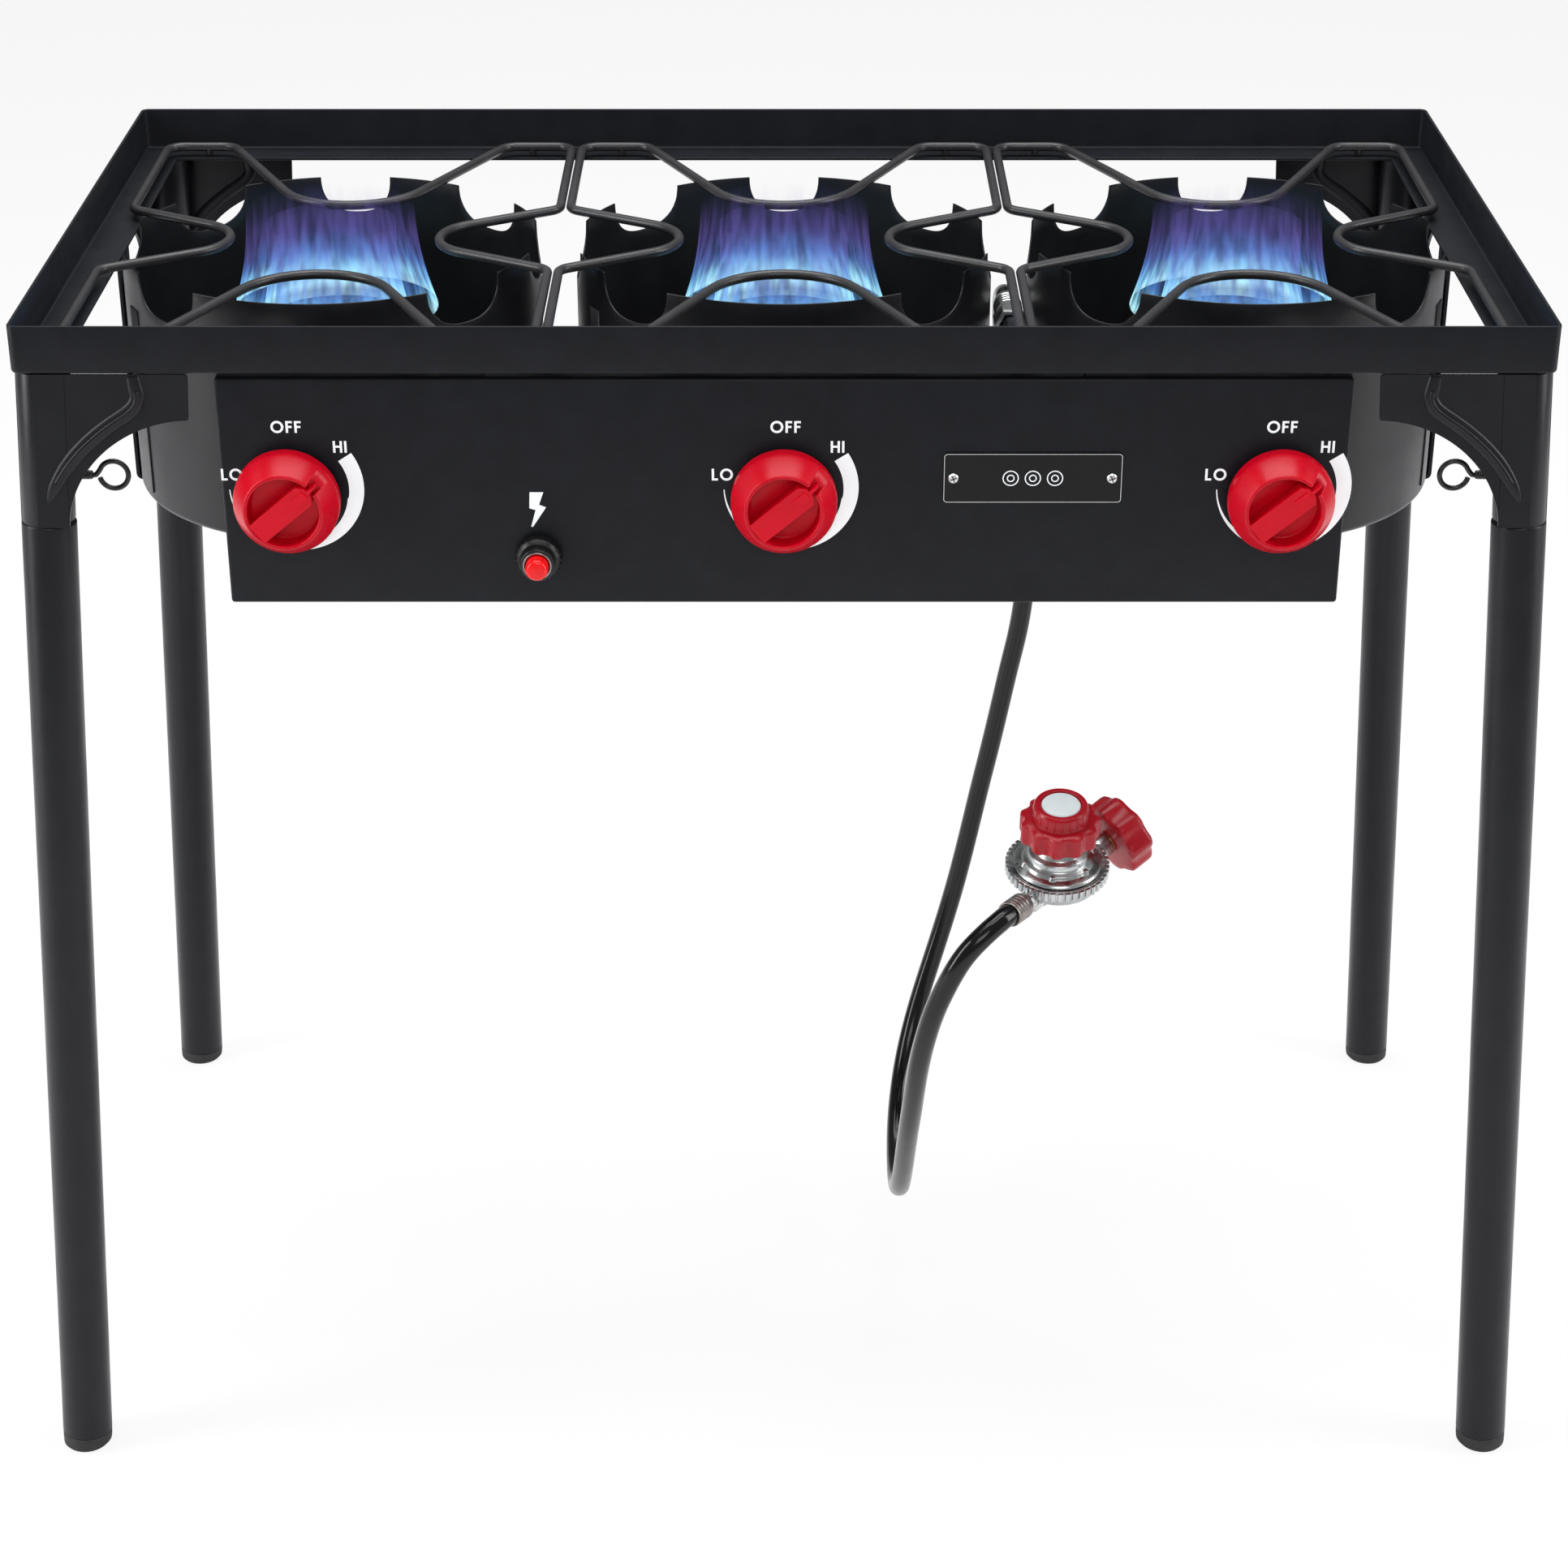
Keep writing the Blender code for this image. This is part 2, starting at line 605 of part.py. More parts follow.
HEAD_PROFILE = (
    (0.0, HEAD_TOP - 0.0080), (0.0250, HEAD_TOP - 0.0080),
    (0.0320, HEAD_TOP), (HEAD_R - 0.0060, HEAD_TOP),
    (HEAD_R, HEAD_TOP - 0.0060), (HEAD_R, HEAD_BOT + 0.0080),
    (0.0340, HEAD_BOT), (HEAD_NECK_R, HEAD_BOT - 0.0060),
    (HEAD_NECK_R, MIXER_Z - 0.0170), (HEAD_STUD_R, MIXER_Z - 0.0210),
    (HEAD_STUD_R, RAIL_TOP + GAP), (0.0, RAIL_TOP + GAP))

MIXER_PROFILE = (
    (0.0165, 0.1640), (0.0165, 0.1600), (0.0125, 0.1400), (MIXER_R, 0.0),
    (0.0105, 0.0), (0.0100, 0.1400), (0.0142, 0.1600), (0.0142, 0.1640))

ELECTRODE_PROFILE = (
    (0.0, 0.6860), (0.0010, 0.6855), (0.0010, 0.6700), (0.0028, 0.6690),
    (0.0028, SHIELD_BOT + SHIELD_T + GAP), (0.0, SHIELD_BOT + SHIELD_T + GAP))


def build_burner_head(side, x):
    head = lathe("burner_head_" + side, HEAD_PROFILE, (x, BURNER_Y, 0), steps=18)
    join(head, rod_y("socket_" + side, x, MIXER_Z, BURNER_Y, BURNER_Y - 0.034, SOCKET_R))
    cut(head, rod_y("socket_bore_" + side, x, MIXER_Z, BURNER_Y - 0.012,
                    BURNER_Y - 0.050, MIXER_R + 0.0006))
    finish(head, IRON)


def build_mixer_tube(side, x):
    """Open bell mouth at the valve, straight barrel to the head."""
    mixer = lathe("mixer_tube_" + side, MIXER_PROFILE,
                  (x, BURNER_Y - 0.0130, MIXER_Z), TO_FRONT, steps=14)
    finish(mixer, IRON)


def build_electrode(side, x):
    """Ceramic post with a thin tip, standing beside the burner head."""
    electrode = lathe("igniter_electrode_" + side, ELECTRODE_PROFILE,
                      (x - ELECTRODE_OFFSET, BURNER_Y - ELECTRODE_OFFSET, 0), steps=8)
    finish(electrode, CERAMIC)


def build_burners():
    for side, step in SIDES:
        x = step * BURNER_PITCH
        build_wind_shield(side, x)
        build_burner_head(side, x)
        build_mixer_tube(side, x)
        build_electrode(side, x)


# --------------------------------------------------------- burner cross rail
RAIL_T = 0.0025
RAIL_X = 0.4112          # outer face of the turned-up ends
RAIL_HALF_Y = 0.0150
RAIL_FOOT_X = HALF_W - 0.0020


def rail_box(name, x_a, x_b, bottom, top):
    return box(name, (min(x_a, x_b), BURNER_Y - RAIL_HALF_Y, bottom),
               (max(x_a, x_b), BURNER_Y + RAIL_HALF_Y, top))


def build_cross_rail():
    """Long strap under the burners; its ends turn up beside the outer shields
    and out again below the rim's side flanges."""
    rail = rail_box("burner_cross_rail", -RAIL_X, RAIL_X, RAIL_TOP - RAIL_T, RAIL_TOP)
    for side, sign in (("left", -1), ("right", 1)):
        inner = sign * (RAIL_X - RAIL_T)
        join(rail, rail_box("rail_end_" + side, inner, sign * RAIL_X,
                            RAIL_TOP - RAIL_T, BRACKET_TOP))
        join(rail, rail_box("rail_foot_" + side, inner, sign * RAIL_FOOT_X,
                            BRACKET_TOP - RAIL_T, BRACKET_TOP))
    finish(rail, BLACK, smooth=False)


# ------------------------------------------------- control panel, nameplate
PANEL_HALF_W = 0.6356 / 2
PANEL_TOP = 0.7212
PANEL_BOT = 0.5848
PANEL_RETURN = 0.0140    # depth of the folded edges
PAD_X = 0.180            # pads that fill the space up to the rim
PAD_HALF_X = 0.012
STEM_HOLE_R = 0.0062
IGNITER_HOLE_R = 0.0090
PLATE_W = 0.1005
PLATE_H = 0.0293
PLATE_T = 0.0010

RIVETS = (("left", PLATE_X - RIVET_REACH), ("right", PLATE_X + RIVET_REACH))
RIVET_PROFILE = ((0.0, 0.0032), (0.0018, 0.0029), (0.0030, 0.0018 + GAP),
                 (0.0016, 0.0018), (0.0016, -0.0040), (0.0, -0.0040))


def panel_drill(name, x, z, radius, segments=16):
    """Round cutter through the panel's face."""
    return rod_y(name, x, z, PANEL_FRONT - 0.01, PANEL_FRONT + 0.01, radius, segments)


def build_panel():
    """Tray with its face to the front and its open side to the back."""
    panel = box("control_panel", (-PANEL_HALF_W, PANEL_FRONT, PANEL_BOT),
                (PANEL_HALF_W, PANEL_FRONT + PANEL_RETURN, PANEL_TOP))
    cut(panel, box("panel_hollow",
                   (-PANEL_HALF_W + PANEL_T, PANEL_FRONT + PANEL_T, PANEL_BOT + PANEL_T),
                   (PANEL_HALF_W - PANEL_T, PANEL_FRONT + 0.03, PANEL_TOP - PANEL_T)))
    for sign in (-1, 1):
        join(panel, box("panel_pad_%d" % sign,
                        (sign * PAD_X - PAD_HALF_X, PANEL_FRONT + 0.0035,
                         PANEL_TOP - 0.0008),
                        (sign * PAD_X + PAD_HALF_X, PANEL_FRONT + PANEL_RETURN - 0.001,
                         FLANGE_BOT - GAP)))
    for side, step in SIDES:
        cut(panel, panel_drill("stem_hole_" + side, step * KNOB_PITCH, KNOB_Z,
                               STEM_HOLE_R))
    cut(panel, panel_drill("igniter_hole", IGNITER_X, IGNITER_Z, IGNITER_HOLE_R))
    for side, x in RIVETS:
        cut(panel, panel_drill("rivet_hole_" + side, x, PLATE_Z, RIVET_HOLE_R, 12))
    finish(panel, BLACK, smooth=False)


def build_nameplate():
    back = PANEL_FRONT - GAP
    nameplate = box("nameplate",
                    (PLATE_X - PLATE_W / 2, back - PLATE_T, PLATE_Z - PLATE_H / 2),
                    (PLATE_X + PLATE_W / 2, back, PLATE_Z + PLATE_H / 2))
    for side, x in RIVETS:
        cut(nameplate, panel_drill("plate_hole_" + side, x, PLATE_Z, RIVET_HOLE_R, 12))
        rivet = lathe("nameplate_rivet_" + side, RIVET_PROFILE,
                      (x, PANEL_FRONT, PLATE_Z), TO_FRONT, steps=12)
        finish(rivet, STEEL)
    finish(nameplate, BLACK_PLASTIC, smooth=False)


# -------------------------------------------------------- valves, stems, knobs
VALVE_FRONT = PANEL_FRONT + PANEL_T + GAP
VALVE_R = 0.0110
VALVE_BORE = 0.0036
RISER_R = 0.0070
SPUD_R = 0.0042
STEM_R = 0.0030
KNOB_BASE = PANEL_FRONT - 0.0030         # rear edge of the knob's skirt
KNOB_BOSS_R = 0.0075
KNOB_BORE = 0.0034
BAR_HALF = Vector((0.0062, 0.0070, 0.0213))      # grip bar's half sizes
POINTER_ANGLE = math.radians(50.0)       # grip bar, clockwise from up

# domed skirt with a round dish across which the grip bar runs
KNOB_PROFILE = (
    (0.0, 0.0170), (0.0195, 0.0180), (0.0205, 0.0215), (0.0235, 0.0210),
    (0.0275, 0.0165), (0.0298, 0.0100), (0.0302, 0.0020), (0.0295, 0.0),
    (0.0270, 0.0), (0.0260, 0.0080), (0.0100, 0.0100), (0.0, 0.0100))


def build_valve(side, x):
    valve = rod_y("gas_valve_" + side, x, KNOB_Z, VALVE_FRONT, -0.1840, VALVE_R, 14)
    riser_y = MANIFOLD_Y - 0.0010
    join(valve, rod("valve_riser_" + side, (x, riser_y, MIXER_Z - 0.0060),
                    (x, riser_y, MANIFOLD_Z - MANIFOLD_R + 0.0006), RISER_R, 12))
    join(valve, rod_y("valve_spud_" + side, x, MIXER_Z, MANIFOLD_Y, -0.1640, SPUD_R, 10))
    cut(valve, rod_y("valve_bore_" + side, x, KNOB_Z, VALVE_FRONT - 0.005,
                     VALVE_FRONT + 0.0125, VALVE_BORE, 12))
    # clearance round the manifold pipe
    cut(valve, rod("valve_manifold_clear_" + side,
                   (x - 0.03, MANIFOLD_Y, MANIFOLD_Z),
                   (x + 0.03, MANIFOLD_Y, MANIFOLD_Z), MANIFOLD_R + GAP, 20))
    finish(valve, BRASS)


def build_stem(side, x, hub):
    stem = rod_y("valve_stem_" + side, x, KNOB_Z, VALVE_FRONT + 0.0115,
                 PANEL_FRONT - 0.0180, STEM_R, 12)
    finish(stem, BRASS)
    attach(stem, hub)


def build_knob(side, x, hub):
    knob = lathe("knob_" + side, KNOB_PROFILE, (x, KNOB_BASE, KNOB_Z), TO_FRONT,
                 steps=20)
    # boss around the stem, behind the dish
    join(knob, rod_y("knob_boss_" + side, x, KNOB_Z, KNOB_BASE - 0.0010,
                     KNOB_BASE - 0.0140, KNOB_BOSS_R, 14))
    bar = box("knob_bar_" + side, -BAR_HALF, BAR_HALF, bevel=0.0012, segments=1)
    bar.matrix_world = (Matrix.Translation((x, KNOB_BASE - 0.0200, KNOB_Z))
                        @ Matrix.Rotation(POINTER_ANGLE, 4, 'Y'))
    join(knob, bar)
    cut(knob, rod_y("knob_bore_" + side, x, KNOB_Z, KNOB_BASE + 0.005,
                    KNOB_BASE - 0.0155, KNOB_BORE, 14))
    finish(knob, RED)
    attach(knob, hub)


def build_controls():
    for side, step in SIDES:
        x = step * KNOB_PITCH
        build_valve(side, x)
        hub = empty("knob_axis_" + side, (x, PANEL_FRONT, KNOB_Z))
        build_stem(side, x, hub)
        build_knob(side, x, hub)


# ------------------------------------------------- gas manifold, swivel nut
MANIFOLD_HALF_X = KNOB_PITCH + 0.018
SUPPLY_R = 0.0055
SLIP_R = 0.0071          # bore of the fittings that slip over the hose


def build_manifold():
    manifold = rod("gas_manifold", (-MANIFOLD_HALF_X, MANIFOLD_Y, MANIFOLD_Z),
                   (MANIFOLD_HALF_X, MANIFOLD_Y, MANIFOLD_Z), MANIFOLD_R)
    join(manifold, rod("supply_pipe", (SUPPLY_X, MANIFOLD_Y, MANIFOLD_Z), SUPPLY_END,
                       SUPPLY_R, 12))
    finish(manifold, BLACK)


def build_swivel_nut():
    nut = lathe("hose_swivel_nut",
                [(0.0086, 0.0400), (0.0086, 0.0200), (0.0102, 0.0180),
                 (0.0102, 0.0), (SLIP_R, 0.0), (SLIP_R, 0.0400)],
                SUPPLY_END + Vector((0, -0.0010, 0)), TO_BACK, steps=12)
    finish(nut, ZINC)


# ----------------------------------------------------------------- regulator
REG_C = Vector((0.1680, -0.1700, 0.3880))        # centre of the rim plane
REG_ROT = Matrix.Rotation(math.radians(10.5), 3, 'X')    # top leans to the front
REG_MATRIX = Matrix.Translation(REG_C) @ REG_ROT.to_4x4()


def reg_point(x, y, z):
    return REG_MATRIX @ Vector((x, y, z))


# outlet, ferrule and the hose's last stretch share one straight line
OUTLET_START = reg_point(-0.0060, -0.0095, -0.0100)
FERRULE_C = REG_C + Vector((-0.0265, -0.0350, -0.0115))
HOSE_DIR = (OUTLET_START - FERRULE_C).normalized()
HOSE_END = FERRULE_C + HOSE_DIR * 0.0080

# inlet, tank nut and nipple share another
INLET_START = reg_point(0.0100, 0.0077, -0.0105)
TANK_NUT_C = reg_point(0.0400, 0.0310, 0.0)
TANK_NUT_T = 0.0180
INLET_DIR = (TANK_NUT_C - INLET_START).normalized()
INLET_ROT = axis_rot(INLET_DIR)
TANK_NUT_REAR = TANK_NUT_C - INLET_DIR * (TANK_NUT_T / 2)

CAP_RECESS_Z = 0.0452    # floor of the recess in the adjusting knob's cap

REG_BODY_PROFILE = (
    (0.0, 0.0020), (0.0285, 0.0020), (0.0320, 0.0008), (0.0320, -0.0030),
    (0.0300, -0.0055), (0.0270, -0.0120), (0.0150, -0.0180), (0.0, -0.0180))

BONNET_PROFILE = (
    (0.0, 0.0222), (0.0120, 0.0222), (0.0130, 0.0180), (0.0160, 0.0130),
    (0.0185, 0.0065), (0.0280, 0.0042), (0.0285, 0.0024), (0.0, 0.0024))

NIPPLE_PROFILE = (
    (0.0, 0.0240), (0.0050, 0.0240), (0.0090, 0.0180), (0.0090, 0.0100),
    (0.0120, 0.0100), (0.0120, 0.0056), (0.0064, 0.0056), (0.0064, -0.0006),
    (0.0, -0.0006))


def build_regulator_body():
    body = lathe("regulator_body", REG_BODY_PROFILE, REG_C, REG_ROT, steps=20)
    join(body, rod("reg_outlet", OUTLET_START, HOSE_END + HOSE_DIR * GAP, 0.0060, 12))
    join(body, rod("reg_outlet_hex", OUTLET_START, HOSE_END + HOSE_DIR * 0.0060,
                   0.0080, 6))
    join(body, rod("reg_inlet", INLET_START, TANK_NUT_REAR - INLET_DIR * 0.0010,
                   0.0075, 14))
    finish(body, ZINC)
    bonnet = lathe("regulator_bonnet", BONNET_PROFILE, REG_C, REG_ROT)
    finish(bonnet, ZINC)


def build_regulator_knob():
    """Round lobes below a plain raised cap with a disc set into it."""
    hub = empty("regulator_knob_axis", REG_C)
    knob = plate("regulator_knob",
                 lobed(radius=0.0236, swing=0.0012, lobes=11, points=44), 0.0140)
    knob.matrix_world = REG_MATRIX @ Matrix.Translation((0, 0, 0.0300))
    join(knob, rod("regulator_knob_cap", reg_point(0, 0, 0.0300),
                   reg_point(0, 0, 0.0470), 0.0172))
    cut(knob, rod("regulator_knob_recess", reg_point(0, 0, CAP_RECESS_Z),
                  reg_point(0, 0, 0.0520), 0.0125))
    finish(knob, RED)
    attach(knob, hub)

    disc = rod("regulator_cap_disc", reg_point(0, 0, CAP_RECESS_Z + GAP),
               reg_point(0, 0, 0.0472), 0.0119)
    finish(disc, WHITE)
    attach(disc, hub)


def build_tank_connector():
    """Fluted hand nut turning on the inlet nipple."""
    hub = empty("tank_nut_axis", TANK_NUT_C)
    nut = plate("tank_connector_nut",
                lobed(radius=0.0230, swing=0.0011, lobes=8, points=32), TANK_NUT_T)
    nut.matrix_world = Matrix.Translation(TANK_NUT_C) @ INLET_ROT.to_4x4()
    cut(nut, rod("tank_nut_mouth", TANK_NUT_REAR + INLET_DIR * 0.0050,
                 TANK_NUT_REAR + INLET_DIR * 0.0400, 0.0185))
    cut(nut, rod("tank_nut_neck", TANK_NUT_REAR - INLET_DIR * 0.0100,
                 TANK_NUT_REAR + INLET_DIR * 0.0200, 0.0070, 12))
    finish(nut, RED)
    attach(nut, hub)
    nipple = lathe("tank_connector_nipple", NIPPLE_PROFILE, TANK_NUT_REAR, INLET_ROT,
                   steps=12)
    finish(nipple, BRASS)


# ---------------------------------------------------------------------- hose
HOSE_R = 0.0067

# (x, y, z) stations: starts straight in the swivel nut, drops between two
# shields, hangs in a loop and rises to the regulator
HOSE_POINTS = (
    SUPPLY_END + Vector((0, GAP, 0)),
    (SUPPLY_X, 0.0280, MANIFOLD_Z), (SUPPLY_X, 0.0400, MANIFOLD_Z),
    (0.1402, 0.0680, 0.6730), (0.1418, 0.0900, 0.6470), (0.1465, 0.1020, 0.6080),
    (0.1560, 0.1080, 0.5560), (0.1630, 0.1100, 0.5050), (0.1648, 0.1100, 0.4620),
    (0.1613, 0.1100, 0.4232), (0.1553, 0.1100, 0.3925), (0.1497, 0.1100, 0.3615),
    (0.1438, 0.1100, 0.3300), (0.1373, 0.1100, 0.2980), (0.1294, 0.1090, 0.2570),
    (0.1208, 0.1060, 0.2180), (0.1092, 0.0990, 0.1770), (0.0960, 0.0880, 0.1350),
    (0.0856, 0.0650, 0.1005), (0.0800, 0.0300, 0.0745), (0.0788, -0.0150, 0.0610),
    (0.0794, -0.0500, 0.0690), (0.0799, -0.0900, 0.1080), (0.0806, -0.1400, 0.1700),
    (0.0820, -0.1700, 0.2120), (0.0840, -0.2030, 0.2650), (0.0900, -0.2220, 0.3085),
    (0.0979, -0.2300, 0.3359), (0.1075, -0.2315, 0.3570), (0.1190, -0.2280, 0.3695),
    FERRULE_C - HOSE_DIR * 0.0160)


def build_hose():
    hose = wire("gas_hose", smooth_path(HOSE_POINTS, per_span=2) + [HOSE_END], HOSE_R)
    finish(hose, RUBBER)
    ferrule = lathe("hose_ferrule",
                    [(0.0080, 0.0030), (0.0080, -0.0120), (SLIP_R, -0.0120),
                     (SLIP_R, 0.0030)],
                    HOSE_END - HOSE_DIR * 0.0050, axis_rot(HOSE_DIR), steps=14)
    finish(ferrule, ZINC)


# ------------------------------------------------------------------- igniter
IGNITER_NUT_BORE = 0.0089

BUTTON_PROFILE = ((0.0, 0.0225), (0.0045, 0.0222), (0.0062, 0.0205),
                  (0.0064, 0.0185), (0.0066, 0.0010), (0.0, 0.0010))


def igniter_rod(name, behind, reach, radius):
    """Cylinder between two distances behind the panel's front face."""
    return rod_y(name, IGNITER_X, IGNITER_Z, PANEL_FRONT + behind,
                 PANEL_FRONT + reach, radius, 14)


def build_igniter():
    body = igniter_rod("igniter_body", 0.0480, -0.0130, 0.0085)
    join(body, igniter_rod("igniter_shoulder", 0.0420, PANEL_T + GAP, 0.0112))
    cut(body, igniter_rod("igniter_bore", -0.0200, 0.0060, 0.0070))
    finish(body, BLACK_PLASTIC)

    centre = (IGNITER_X, PANEL_FRONT, IGNITER_Z)
    nut = lathe("igniter_nut",
                [(IGNITER_NUT_BORE, 0.0100), (0.0100, 0.0100), (0.0122, 0.0085),
                 (0.0126, GAP), (IGNITER_NUT_BORE, GAP)], centre, TO_FRONT)
    finish(nut, BLACK_PLASTIC)

    button = lathe("igniter_button", BUTTON_PROFILE, centre, TO_FRONT, steps=14)
    finish(button, RED_BUTTON)


# --------------------------------------------------------------------- build
build_top_frame()
build_corners()
build_grates()
build_burners()
build_cross_rail()
build_panel()
build_controls()
build_manifold()
build_swivel_nut()
build_regulator_body()
build_regulator_knob()
build_tank_connector()
build_hose()
build_igniter()
build_nameplate()

bpy.context.view_layer.update()
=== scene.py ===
# Looks for a three-burner propane stand. Metres, +Z up, feet on z = 0.
# The stand is long in X and centred on x = 0; the knob side faces -Y. Three burners
# stand in a row along X, inside an angle-iron top frame on four splayed legs.
import math

import bpy
import bmesh
from mathutils import Matrix, Vector


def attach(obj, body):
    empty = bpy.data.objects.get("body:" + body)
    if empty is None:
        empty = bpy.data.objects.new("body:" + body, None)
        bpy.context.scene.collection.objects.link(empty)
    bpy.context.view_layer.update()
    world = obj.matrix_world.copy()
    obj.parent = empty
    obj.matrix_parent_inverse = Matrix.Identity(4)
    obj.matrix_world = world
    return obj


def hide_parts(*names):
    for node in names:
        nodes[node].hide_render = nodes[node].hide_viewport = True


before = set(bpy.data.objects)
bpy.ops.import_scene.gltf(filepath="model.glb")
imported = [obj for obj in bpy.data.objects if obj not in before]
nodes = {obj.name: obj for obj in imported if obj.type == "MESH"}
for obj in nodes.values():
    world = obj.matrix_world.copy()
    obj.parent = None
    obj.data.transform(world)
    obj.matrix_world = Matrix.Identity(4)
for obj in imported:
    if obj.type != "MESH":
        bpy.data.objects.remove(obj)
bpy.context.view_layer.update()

ROOT = "stand"
# name, column: -1 is the -X side
SIDES = (("left", -1), ("middle", 0), ("right", 1))
# name, sign of x, sign of y
CORNERS = (("front_left", -1, -1), ("front_right", 1, -1),
           ("back_left", -1, 1), ("back_right", 1, 1))

# ---- Main dimensions
HALF_W, HALF_D = 0.430, 0.220            # top frame, outside
RIM_TOP, RIM_HEIGHT = 0.7525, 0.0280
SHEET, FLANGE_W = 0.0018, 0.0258
FLANGE_LOW = RIM_TOP - RIM_HEIGHT
FLANGE_TOP = FLANGE_LOW + SHEET
BRACKET_TOP = FLANGE_LOW - 0.0004
SPLAY_X, SPLAY_Y = 0.0519, 0.0444        # outward lean of a leg per metre of drop
LEG_INSET = 0.0153                       # leg axis from the frame's outside
LEG_TOP_DROP = 0.0120                    # top of the tube below BRACKET_TOP
SOCKET_DEPTH = 0.0900
GRATE_Z, ROD_R, GRATE_PITCH = 0.7325, 0.0029, 0.2755
GRATE_HALF_W, GRATE_HALF_D = 0.1345, 0.1995
BURNER_PITCH, BURNER_Y = 0.2795, 0.0165
SHIELD_R, SHIELD_TOP, SHIELD_LOW = 0.1285, 0.7286, 0.5765
PANEL_Y = -0.2172                        # front face of the panel
PANEL_TOP, PANEL_LOW, PANEL_W = 0.7212, 0.5848, 0.6356
KNOB_PITCH, KNOB_Z = 0.2805, 0.6505


# ---- Materials
def set_inputs(node, **values):
    """Sets a node's inputs by name, with underscores for spaces."""
    for key, value in values.items():
        node.inputs[key.replace("_", " ")].default_value = value


def add_node(tree, kind, **values):
    node = tree.nodes.new(kind)
    set_inputs(node, **values)
    return node


def remap(tree, value, from_min, from_max, to_min=0.0, to_max=1.0):
    """Links value through a Map Range node."""
    node = add_node(tree, "ShaderNodeMapRange", From_Min=from_min, From_Max=from_max,
                    To_Min=to_min, To_Max=to_max)
    tree.links.new(value, node.inputs["Value"])
    return node.outputs["Result"]


class Look:
    def __init__(self, name, slot, rgb, rough, metal=0.0, **inputs):
        self.mat = bpy.data.materials.new(name)
        self.mat.use_nodes = True
        self.mat.diffuse_color = (*rgb, 1.0)
        self.slot = slot
        self.rgb = rgb
        self.tree = self.mat.node_tree
        self.link = self.tree.links.new
        self.shader = self.tree.nodes["Principled BSDF"]
        set_inputs(self.shader, Base_Color=(*rgb, 1.0), Roughness=rough,
                   Metallic=metal, **inputs)
        self.coords = add_node(self.tree, "ShaderNodeTexCoord")
        self.normal = None

    def noise(self, scale, detail=2.0, roughness=0.5, stretch=None):
        node = add_node(self.tree, "ShaderNodeTexNoise", Scale=scale, Detail=detail,
                        Roughness=roughness)
        source = self.coords.outputs["Object"]
        if stretch:
            mapping = add_node(self.tree, "ShaderNodeMapping", Scale=stretch)
            self.link(source, mapping.inputs["Vector"])
            source = mapping.outputs["Vector"]
        self.link(source, node.inputs["Vector"])
        return node.outputs["Fac"]

    def bump(self, dist, strength, **noise):
        """Adds a bump on top of any earlier one."""
        height = self.noise(**noise)
        node = add_node(self.tree, "ShaderNodeBump", Distance=dist, Strength=strength)
        self.link(height, node.inputs["Height"])
        if self.normal:
            self.link(self.normal, node.inputs["Normal"])
        self.normal = node.outputs["Normal"]
        self.link(self.normal, self.shader.inputs["Normal"])
        return self

    def rough(self, low, high, **noise):
        """Varies the roughness from low to high."""
        value = remap(self.tree, self.noise(**noise), 0.3, 0.7, low, high)
        self.link(value, self.shader.inputs["Roughness"])
        return self

    def tint(self, other, **noise):
        """Blends the base colour towards another."""
        fac = self.noise(**noise)
        mix = add_node(self.tree, "ShaderNodeMix")
        mix.data_type = 'RGBA'
        set_inputs(mix, A=(*self.rgb, 1.0), B=(*other, 1.0))
        self.link(remap(self.tree, fac, 0.35, 0.75), mix.inputs["Factor"])
        self.link(mix.outputs["Result"], self.shader.inputs["Base Color"])
        return self


def powder(name, slot, rgb, low, high, spec, grain=0.00010):
    """Powder coat or enamel: fine orange peel over a slow ripple."""
    look = Look(name, slot, rgb, rough=0.4, Specular_IOR_Level=spec)
    look.bump(dist=grain, strength=0.55, scale=1500)
    look.bump(dist=0.00012, strength=0.35, scale=260)
    look.rough(low, high, scale=28, detail=3.0)
    return look.tint(tuple(c * 1.35 for c in rgb), scale=55, detail=4.0)


def plastic(name, slot, rgb, low, high, sub=0.0, spec=0.5):
    """Moulded plastic; sub is the subsurface weight."""
    inputs = {"Specular_IOR_Level": spec}
    if sub:
        inputs.update(Subsurface_Weight=sub, Subsurface_Scale=0.4,
                      Subsurface_Radius=(0.003, 0.0002, 0.0003))
    look = Look(name, slot, rgb, rough=0.3, **inputs)
    look.bump(dist=0.00005, strength=0.4, scale=1100)
    look.bump(dist=0.0003, strength=0.10, scale=60)
    look.rough(low, high, scale=45, detail=3.0)
    return look.tint(tuple(c * 0.88 for c in rgb), scale=35)


frame_powder = powder("powder_black", "black_steel", (0.0072, 0.0077, 0.0102),
                      low=0.36, high=0.46, spec=0.17)
leg_powder = powder("powder_black_leg", "black_steel", (0.0070, 0.0073, 0.0092),
                    low=0.28, high=0.38, spec=0.24)
shield_enamel = powder("enamel_black", "shield_black", (0.0060, 0.0063, 0.0075),
                       low=0.30, high=0.42, spec=0.34)
rod_enamel = powder("enamel_rod", "grate_black", (0.0190, 0.0190, 0.0205),
                    low=0.30, high=0.42, spec=0.42, grain=0.00014)
cast_iron = Look("cast_iron", "cast_iron", (0.014, 0.0135, 0.0135), rough=0.7,
                 metal=0.3, Specular_IOR_Level=0.3)
cast_iron.bump(dist=0.0006, strength=0.8, scale=420, detail=4.0, roughness=0.65)
cast_iron.tint((0.030, 0.022, 0.018), scale=70, detail=4.0)
cast_iron.rough(low=0.6, high=0.85, scale=90)
brass = Look("brass", "brass", (0.60, 0.42, 0.16), rough=0.3, metal=1.0)
brass.rough(low=0.22, high=0.42, scale=120, detail=3.0)
